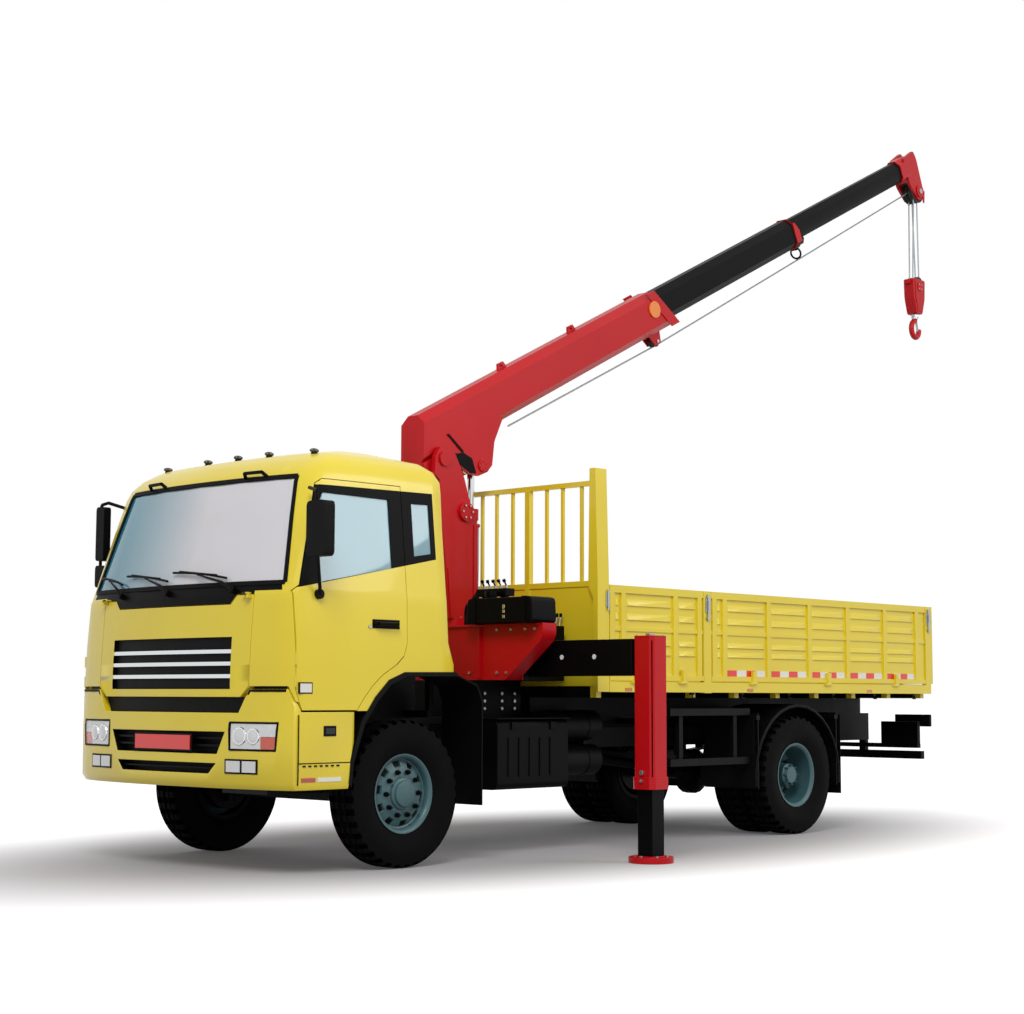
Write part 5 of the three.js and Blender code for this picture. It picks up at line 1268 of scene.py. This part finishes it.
for side, sign in SIDES:
    gate_trim(f"front_gate_{side}", FRONT_BAYS, f"{side}_front_gate", sign, False)
    gate_trim(f"rear_gate_{side}", REAR_BAYS, f"{side}_rear_gate", sign, True)
    # over-centre latches on the posts, with their keepers on the gates
    bm = bmesh.new()
    post_y, plate_y, rod_y = POST_FACE * sign, (POST_FACE + 0.009) * sign, (POST_FACE + 0.013) * sign
    for x in (-3.40, -6.975):
        upright(bm, x, rod_y, 1.86, 2.085, 0.009, 10)
        block(bm, (x - 0.032, post_y, 1.93), (x + 0.032, plate_y, 2.05))
        block(bm, (x - 0.014, plate_y, 1.95), (x + 0.014, 1.274 * sign, 2.03))
        for z in (1.88, 2.06):
            block(bm, (x - 0.02, post_y, z - 0.012), (x + 0.02, 1.270 * sign, z + 0.012))
    block(bm, (-2.108, post_y, 1.93), (-2.068, plate_y, 2.05))
    upright(bm, -2.088, rod_y, 1.90, 2.07, 0.008, 10)
    finished(f"gate_latches_{side}", bm, STEEL, "chassis", 35, 0.0015)
    # rope hooks along the sill
    bm = bmesh.new()
    for x in (-2.6, -3.2, -3.9, -4.6, -5.3, -6.0, -6.7):
        block(bm, (x - 0.02, 1.22 * sign, 1.235), (x + 0.02, 1.245 * sign, 1.256))
        upright(bm, x, 1.235 * sign, 1.237, 1.205, 0.007, 8)
        long_bar(bm, 1.235 * sign, 1.208, x, x - 0.045, 0.007, 8)
    finished(f"rope_hooks_{side}", bm, BLACK, "chassis", 35)
    # side marker lamps under the sill
    bm = bmesh.new()
    for x in (-2.35, -4.0, -5.9):
        block(bm, (x - 0.045, 1.246 * sign, 1.262), (x + 0.045, 1.2535 * sign, 1.290))
    finished(f"side_markers_{side}", bm, LENS_AMBER, "chassis", 35, 0.004)

# tailgate latches and pressings
bm = bmesh.new()
for y in (-1.18, 1.18):
    block(bm, (-7.066, y - 0.02, 1.88), (-7.074, y + 0.02, 2.04))
    upright(bm, -7.078, y, 1.86, 2.06, 0.009, 10)
finished("tailgate_latches", bm, STEEL, "tailgate_body", 35, 0.0015)
bm = bmesh.new()
for start_y, end_y in ((-1.14, -0.70), (-0.54, -0.08), (0.08, 0.54), (0.70, 1.14)):
    for low, high in GATE_RIBS:
        block(bm, (-7.049, start_y, low), (-7.058, end_y, high))
finished("tailgate_pressings", bm, YELLOW, "tailgate_body", 35, 0.005)

# rear lamps on the bumper's ends, mudflaps and rear mudguards
LAMP_X, LAMP_FROM, LAMP_TO = -7.20, 0.72, 1.12
GUARD_SECTION = ((0.662, 0.62), (0.662, 1.215), (0.640, 1.225), (0.632, 1.215), (0.656, 1.205), (0.656, 0.62))
for side, sign in SIDES:
    bm = bmesh.new()
    block(bm, (LAMP_X, LAMP_FROM * sign, 0.93), (LAMP_X - 0.035, LAMP_TO * sign, 1.05))
    for material, (near, far) in enumerate(((0.01, 0.15), (0.16, 0.27), (0.28, 0.39)), 1):
        block(bm, (LAMP_X - 0.035, (LAMP_FROM + near) * sign, 0.94),
              (LAMP_X - 0.055, (LAMP_FROM + far) * sign, 1.04), material)
    finished(f"rear_lamp_{side}", bm, [PLASTIC, LENS_RED, LENS_AMBER, LENS_CLEAR], "chassis", 35, 0.004)
    bm = bmesh.new()
    block(bm, (-5.44, 0.64 * sign, 0.34), (-5.446, 1.22 * sign, 1.06))
    block(bm, (-5.455, 0.64 * sign, 1.02), (-5.447, 1.22 * sign, 1.06))
    block(bm, (-4.12, 0.66 * sign, 0.62), (-4.126, 1.20 * sign, 1.06))
    finished(f"mudflap_{side}", bm, RUBBER, "chassis", 35, 0.002)
    bm = bmesh.new()
    turns = [math.radians(-8 + step * 12.25) for step in range(17)]
    skin(bm, [[(-WHEELBASE + r * math.cos(t), y * sign, TYRE_R + r * math.sin(t) * 0.955)
               for r, y in GUARD_SECTION] for t in turns])
    finished(f"rear_mudguard_{side}", bm, PLASTIC, "chassis", 40)

# ---------------------------------------------------------------- under the bed
bm = bmesh.new()
for y, x0, x1, z, r in (
        (0.62, -1.98, -2.62, 0.98, 0.125), (0.62, -1.98, -2.62, 0.70, 0.125), (-0.66, -2.9, -3.5, 0.95, 0.13)):
    long_bar(bm, y, z, x0, x1, r, 28)
    for end, out in ((x0, 1), (x1, -1)):
        round_bar(bm, (end, y, z), (end + 0.035 * out, y, z), r * 0.96, 28, r * 0.45)
        long_bar(bm, y, z, end + 0.035 * out, end + 0.055 * out, 0.018, 10, 1)
    for x in (x0 - 0.14, x1 + 0.14):
        long_bar(bm, y, z, x - 0.02, x + 0.02, r + 0.005, 28)
finished("air_tanks", bm, [UNDER, STEEL], "chassis", 35)
bm = bmesh.new()
for x in (-2.03, -2.50):
    block(bm, (x, 0.46, 0.82), (x - 0.03, 0.64, 0.86))
for x in (-2.05, -2.5):
    block(bm, (x - 0.02, 0.455, 0.70), (x + 0.02, 0.50, 1.02))
for x in (-3.0, -3.4):
    block(bm, (x - 0.02, -0.53, 0.90), (x + 0.02, -0.455, 1.0))
finished("air_tank_brackets", bm, UNDER, "chassis", 35, 0.002)
pipe("brake_pipes", [
    [(-0.9, 0.462, 1.0 - drop), (-2.4, 0.464, 1.0 - drop), (-3.8, 0.464, 1.0 - drop), (-4.7, 0.464, 0.98 - drop)]
    for drop in (0.0, 0.02, 0.04)], 0.006, BLACK, "chassis")

# ---------------------------------------------------------------- inside the cab
def cushion(name, low, high, lean, cap):
    """A stuffed pad: a rounded block remeshed, blown up as cloth, and held to a cap."""
    bm = bmesh.new()
    block(bm, low, high)
    bmesh.ops.subdivide_edges(bm, edges=bm.edges[:], cuts=1, use_grid_fill=True)
    middle = (Vector(low) + Vector(high)) / 2
    bmesh.ops.translate(bm, verts=bm.verts, vec=-middle)
    bmesh.ops.bevel(bm, geom=[e for e in bm.edges if e.calc_face_angle(0) > 1], offset=0.028, segments=3,
                    affect="EDGES", profile=0.6)
    bmesh.ops.rotate(bm, cent=(0, 0, 0), matrix=Matrix.Rotation(lean, 3, "Y"), verts=bm.verts)
    bmesh.ops.translate(bm, verts=bm.verts, vec=middle + TRUCK)
    pad = meshed(name, bm)

    def applied():
        """The pad's mesh as its modifiers leave it, which then go."""
        made = bpy.data.meshes.new_from_object(pad.evaluated_get(bpy.context.evaluated_depsgraph_get()))
        pad.modifiers.clear()
        pad.data = made
        return made

    remesh = pad.modifiers.new("even", "REMESH")
    remesh.mode = "VOXEL"
    remesh.voxel_size = 0.006
    rest = [v.co.copy() for v in applied().vertices]
    cloth = pad.modifiers.new("stuffing", "CLOTH")
    cloth.settings.use_pressure = True
    cloth.settings.uniform_pressure_force = 4
    cloth.settings.effector_weights.gravity = 0
    cloth.settings.quality = 4
    cloth.point_cache.frame_start = 1
    cloth.point_cache.frame_end = 20
    for step in range(1, 21):
        bpy.context.scene.frame_set(step)
    for vertex, place in zip(applied().vertices, rest):
        moved = vertex.co - place
        if moved.length > cap:
            vertex.co = place + moved.normalized() * cap
    bpy.context.scene.frame_set(1)
    smoother = pad.modifiers.new("skin", "SUBSURF")
    smoother.levels = smoother.render_levels = 1
    applied()
    pad.data.materials.clear()
    pad.data.materials.append(CLOTH)
    for polygon in pad.data.polygons:
        polygon.use_smooth = True
    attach(pad, "cab")


for name, y in (("driver", 0.62), ("passenger", -0.62)):
    cushion(f"{name}_seat_cushion", (-0.125, y - 0.228, 1.775), (0.36, y + 0.228, 1.885), 0.0, 0.018)
    cushion(f"{name}_back_cushion", (-0.21, y - 0.222, 1.90), (-0.12, y + 0.222, 2.34), -0.16, 0.018)
    cushion(f"{name}_head_cushion", (-0.255, y - 0.13, 2.40), (-0.175, y + 0.13, 2.55), -0.16, 0.012)
    bm = bmesh.new()
    block(bm, (-0.12, y - 0.2, 1.4705), (0.32, y + 0.2, 1.62))
    block(bm, (-0.09, y - 0.16, 1.62), (0.29, y + 0.16, 1.70))
    block(bm, (-0.14, y - 0.22, 1.70), (0.35, y + 0.22, 1.772))
    plate(bm, [(-0.15, 1.72), (-0.19, 1.72), (-0.275, 2.36), (-0.255, 2.36)], "y", y - 0.215, y + 0.215)
    for dy in (-0.07, 0.07):
        round_bar(bm, (-0.255, y + dy, 2.33), (-0.262, y + dy, 2.43), 0.007, 10, material=1)
    cross_bar(bm, -0.16, 1.80, y - 0.25, y + 0.25, 0.02, 12, 1)
    # belt buckle beside the seat
    block(bm, (-0.17, y + 0.225, 1.72), (-0.11, y + 0.255, 1.86))
    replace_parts(finished(f"{name}_seat_frame", bm, [PLASTIC, STEEL], "cab", 35, 0.004), f"{name}_seat")

bm = bmesh.new()
for y, lift in ((0.52, 0), (0.62, 0.01), (0.72, 0)):
    round_bar(bm, (0.752, y, 1.93 + lift), (0.742, y, 1.928 + lift), 0.038, 28)
    long_bar(bm, y, 1.928 + lift, 0.743, 0.741, 0.033, 28, 1)
for y in (-0.55, -0.1, 0.25, 0.8):
    for i in range(5):
        block(bm, (0.742, y - 0.06, 1.90 + i * 0.012), (0.752, y + 0.06, 1.905 + i * 0.012))
block(bm, (0.745, -0.82, 1.80), (0.756, -0.36, 1.88))
round_bar(bm, (0.56, 0.62, 2.01), (0.538, 0.62, 2.026), 0.055, 24)
finished("dashboard_details", bm, [GREY_PLASTIC, BLACK], "cab", 35, 0.002)
bm = bmesh.new()
round_bar(bm, (0.55, 0.33, 1.4705), (0.52, 0.33, 1.86), 0.012, 12, material=1)
round_bar(bm, (0.52, 0.33, 1.855), (0.518, 0.33, 1.90), 0.026, 16)
for y in (0.54, 0.64, 0.76):
    block(bm, (0.93, y - 0.035, 1.30), (0.945, y + 0.035, 1.39))
    round_bar(bm, (0.945, y, 1.36), (1.02, y, 1.50), 0.008, 8, material=1)
block(bm, (0.95, 0.18, 2.66), (0.965, 0.42, 2.715))
block(bm, (0.93, -0.12, 2.56), (0.942, 0.12, 2.63))
round_bar(bm, (0.936, 0, 2.62), (0.955, 0, 2.70), 0.008, 8)
finished("cab_controls", bm, [PLASTIC, STEEL], "cab", 35, 0.002)

# ---------------------------------------------------------------- tanks, battery box, engine and axles
bm = bmesh.new()
for x in (-2.35, -2.90):
    plate(bm, [(-0.452, 1.046), (-0.452, 0.494), (-0.92, 0.494), (-1.026, 0.60), (-1.026, 0.94), (-0.92, 1.046)],
          "x", x - 0.022, x + 0.022)
upright(bm, -2.25, -0.85, 1.04, 1.075, 0.05, 24, 1)
upright(bm, -2.25, -0.85, 1.072, 1.10, 0.058, 24)
finished("fuel_tank_straps", bm, [BLACK, STEEL], "chassis", 35, 0.002)
bm = bmesh.new()
block(bm, (-1.16, 0.46, 1.0405), (-2.0, 0.93, 1.052))
for x in (-1.35, -1.80):
    block(bm, (x - 0.03, 0.919, 0.96), (x + 0.03, 0.932, 1.02))
for x in (-1.30, -1.42, -1.54, -1.66, -1.78):
    block(bm, (x - 0.012, 0.918, 0.60), (x + 0.012, 0.928, 0.90))
finished("battery_box_lid", bm, BLACK, "chassis", 35, 0.003)
bm = bmesh.new()
block(bm, (0.62, -0.36, 0.66), (0.70, 0.36, 1.10), 1)
for i in range(18):
    z = 0.68 + i * 0.024
    block(bm, (0.70, -0.34, z), (0.706, 0.34, z + 0.006), 1)
long_bar(bm, 0, 0.90, 0.56, 0.615, 0.09, 24)
for x in (-0.30, -0.12, 0.06, 0.24, 0.42):
    block(bm, (x - 0.06, -0.345, 0.98), (x + 0.06, -0.33, 1.09))
    block(bm, (x - 0.06, 0.33, 0.98), (x + 0.06, 0.345, 1.09))
block(bm, (-0.38, -0.26, 0.50), (0.55, 0.26, 0.60))
long_bar(bm, 0, 0.81, -0.41, -0.39, 0.22, 32)
bolt_circle(bm, (-0.41, 0, 0.81), 0.20, 12, (-1, 0, 0), 0.012)
finished("engine_details", bm, [CAST, UNDER], "chassis", 35, 0.004)
SILENCER_Y, SILENCER_Z = -0.70, 0.72
bm = bmesh.new()
long_bar(bm, SILENCER_Y, SILENCER_Z, -1.55, -2.05, 0.15, 32)
for x, end in ((-1.55, -1.50), (-2.05, -2.10)):
    round_bar(bm, (x, SILENCER_Y, SILENCER_Z), (end, SILENCER_Y, SILENCER_Z), 0.145, 32, 0.06)
for x in (-1.65, -1.95):
    block(bm, (x - 0.02, -0.72, 0.86), (x + 0.02, -0.68, 0.95))
    block(bm, (x - 0.02, -0.70, 0.93), (x + 0.02, -0.455, 0.96))
finished("silencer", bm, UNDER, "chassis", 35)
pipe("exhaust_pipe", [
    [(-0.5, -0.40, 0.66), (-0.9, -0.55, 0.66), (-1.2, -0.70, 0.70), (-1.5, SILENCER_Y, SILENCER_Z)],
    [(-2.09, SILENCER_Y, SILENCER_Z), (-2.12, -0.72, 0.66), (-2.10, -0.95, 0.44), (-2.10, -1.12, 0.44)]],
     0.045, UNDER, "chassis")
for side, sign in SIDES:
    bm = bmesh.new()
    round_bar(bm, (-4.74, 0.56 * sign, 0.66), (-4.98, 0.42 * sign, 1.0), 0.032, 16)
    upright(bm, -4.60, 0.62 * sign, 0.66, 0.60, 0.07, 20)
    for x in (-4.86, -4.69):
        for y in (0.455, 0.545):
            upright(bm, x, y * sign, 0.58, 0.73, 0.010, 10)
            upright(bm, x, y * sign, 0.715, 0.735, 0.018, 6)
    round_bar(bm, (-0.03, 0.62 * sign, 0.50), (0.16, 0.46 * sign, 0.96), 0.03, 16)
    finished(f"axle_fittings_{side}", bm, UNDER, "chassis", 35, 0.001)

# spring leaves seen as separate layers, each shorter than the one over it
SPRING_HALF, LEAF_STEP = 0.80, 0.017
bm = bmesh.new()
for side, sign in SIDES:
    for i in range(5):
        half = SPRING_HALF * (1 - 0.12 * i) - 0.02
        z = 0.620 + LEAF_STEP * i
        block(bm, (-WHEELBASE - half, 0.4585 * sign, z + 0.002), (-WHEELBASE + half, 0.5415 * sign, z + 0.014))
finished("rear_spring_leaves", bm, UNDER, "chassis", 35, 0.001)

# ---------------------------------------------------------------- floor, light, camera
SHADOW_POOL_LENGTH, SHADOW_POOL_WIDTH = 7.0, 3.4      # the oval round the truck where the floor is lifted less, a painted shadow under the truck


def white_floor_with_painted_shadow(name, base, shadow_glow):
    """Matt pale ground that the camera and mirrors see lifted to white, with its cast shadows kept, and lifted far less
    in an oval round the truck as a painted shadow.
    """
    material, tree, surface, coords = start(name, Roughness=0.95)
    surface.inputs["Base Color"].default_value = linear(base)
    spread = add_node(tree, "ShaderNodeMapping", {
        "Vector": coords, "Location": (-TRUCK.x / SHADOW_POOL_LENGTH + 0.32, -TRUCK.y / SHADOW_POOL_WIDTH, 0),
        "Scale": (1 / SHADOW_POOL_LENGTH, 1 / SHADOW_POOL_WIDTH, 0)})
    reach = add_node(tree, "ShaderNodeVectorMath", {0: spread.outputs[0]}, operation="LENGTH")
    # painted shadow: the lift is low near the truck and rises to 0.9 away from it
    painted_shadow_pool = add_node(tree, "ShaderNodeMapRange", {
        "Value": reach.outputs[1], "From Min": 0.45, "From Max": 1.15, "To Min": shadow_glow, "To Max": 0.9},
        interpolation_type="SMOOTHSTEP")
    level = add_node(tree, "ShaderNodeMath", {0: seen_directly(tree), 1: painted_shadow_pool.outputs[0]}, operation="MULTIPLY")
    surface.inputs["Emission Color"].default_value = (1, 1, 1, 1)
    tree.links.new(level.outputs[0], surface.inputs["Emission Strength"])
    return material


bm = bmesh.new()
bmesh.ops.create_grid(bm, x_segments=1, y_segments=1, size=150)
ground = meshed("studio_floor", bm)
ground.data.materials.append(white_floor_with_painted_shadow("pale_floor_with_painted_shadow", "#a5a2a4", 0.05))

world = bpy.data.worlds.new("soft_studio")
bpy.context.scene.world = world
world.use_nodes = True
tree = world.node_tree
tree.nodes.clear()
strength = add_node(tree, "ShaderNodeMapRange", {"Value": seen_directly(tree), "To Min": 0.42, "To Max": 1.0})
sky = add_node(tree, "ShaderNodeBackground", {"Color": (1, 1, 1, 1), "Strength": strength.outputs[0]})
add_node(tree, "ShaderNodeOutputWorld", {"Surface": sky.outputs[0]})


def lamp(name, place, target, size, watts):
    """A round soft light that points at a target."""
    data = bpy.data.lights.new(name, "AREA")
    data.shape = "DISK"
    data.size = size
    data.energy = watts
    light = stood(name, data)
    light.location = Vector(place) + TRUCK
    aim = Vector(target) - Vector(place)
    light.rotation_euler = aim.to_track_quat("-Z", "Y").to_euler()


lamp("key", (9.0, 9.0, 13.0), (-2.5, 0, 1.0), 7.0, 1500)
lamp("fill", (-9.0, 12.0, 9.0), (-3.5, 0, 1.5), 8.0, 600)

YAW, PITCH, ROLL = math.radians(223.23), math.radians(5.80), math.radians(0.19)
camera_data = bpy.data.cameras.new("view")
camera_data.lens = 65.31
camera_data.sensor_width = 36
camera_data.clip_end = 500
camera = stood("view", camera_data)
aim = Vector((math.cos(YAW) * math.cos(PITCH), math.sin(YAW) * math.cos(PITCH), math.sin(PITCH)))
camera.location = Vector((9.231, 10.843, 1.223)) + TRUCK
camera.rotation_euler = (aim.to_track_quat("-Z", "Y").to_matrix() @ Matrix.Rotation(ROLL, 3, "Z")).to_euler()
bpy.context.scene.camera = camera
bpy.context.scene.view_settings.view_transform = "Standard"
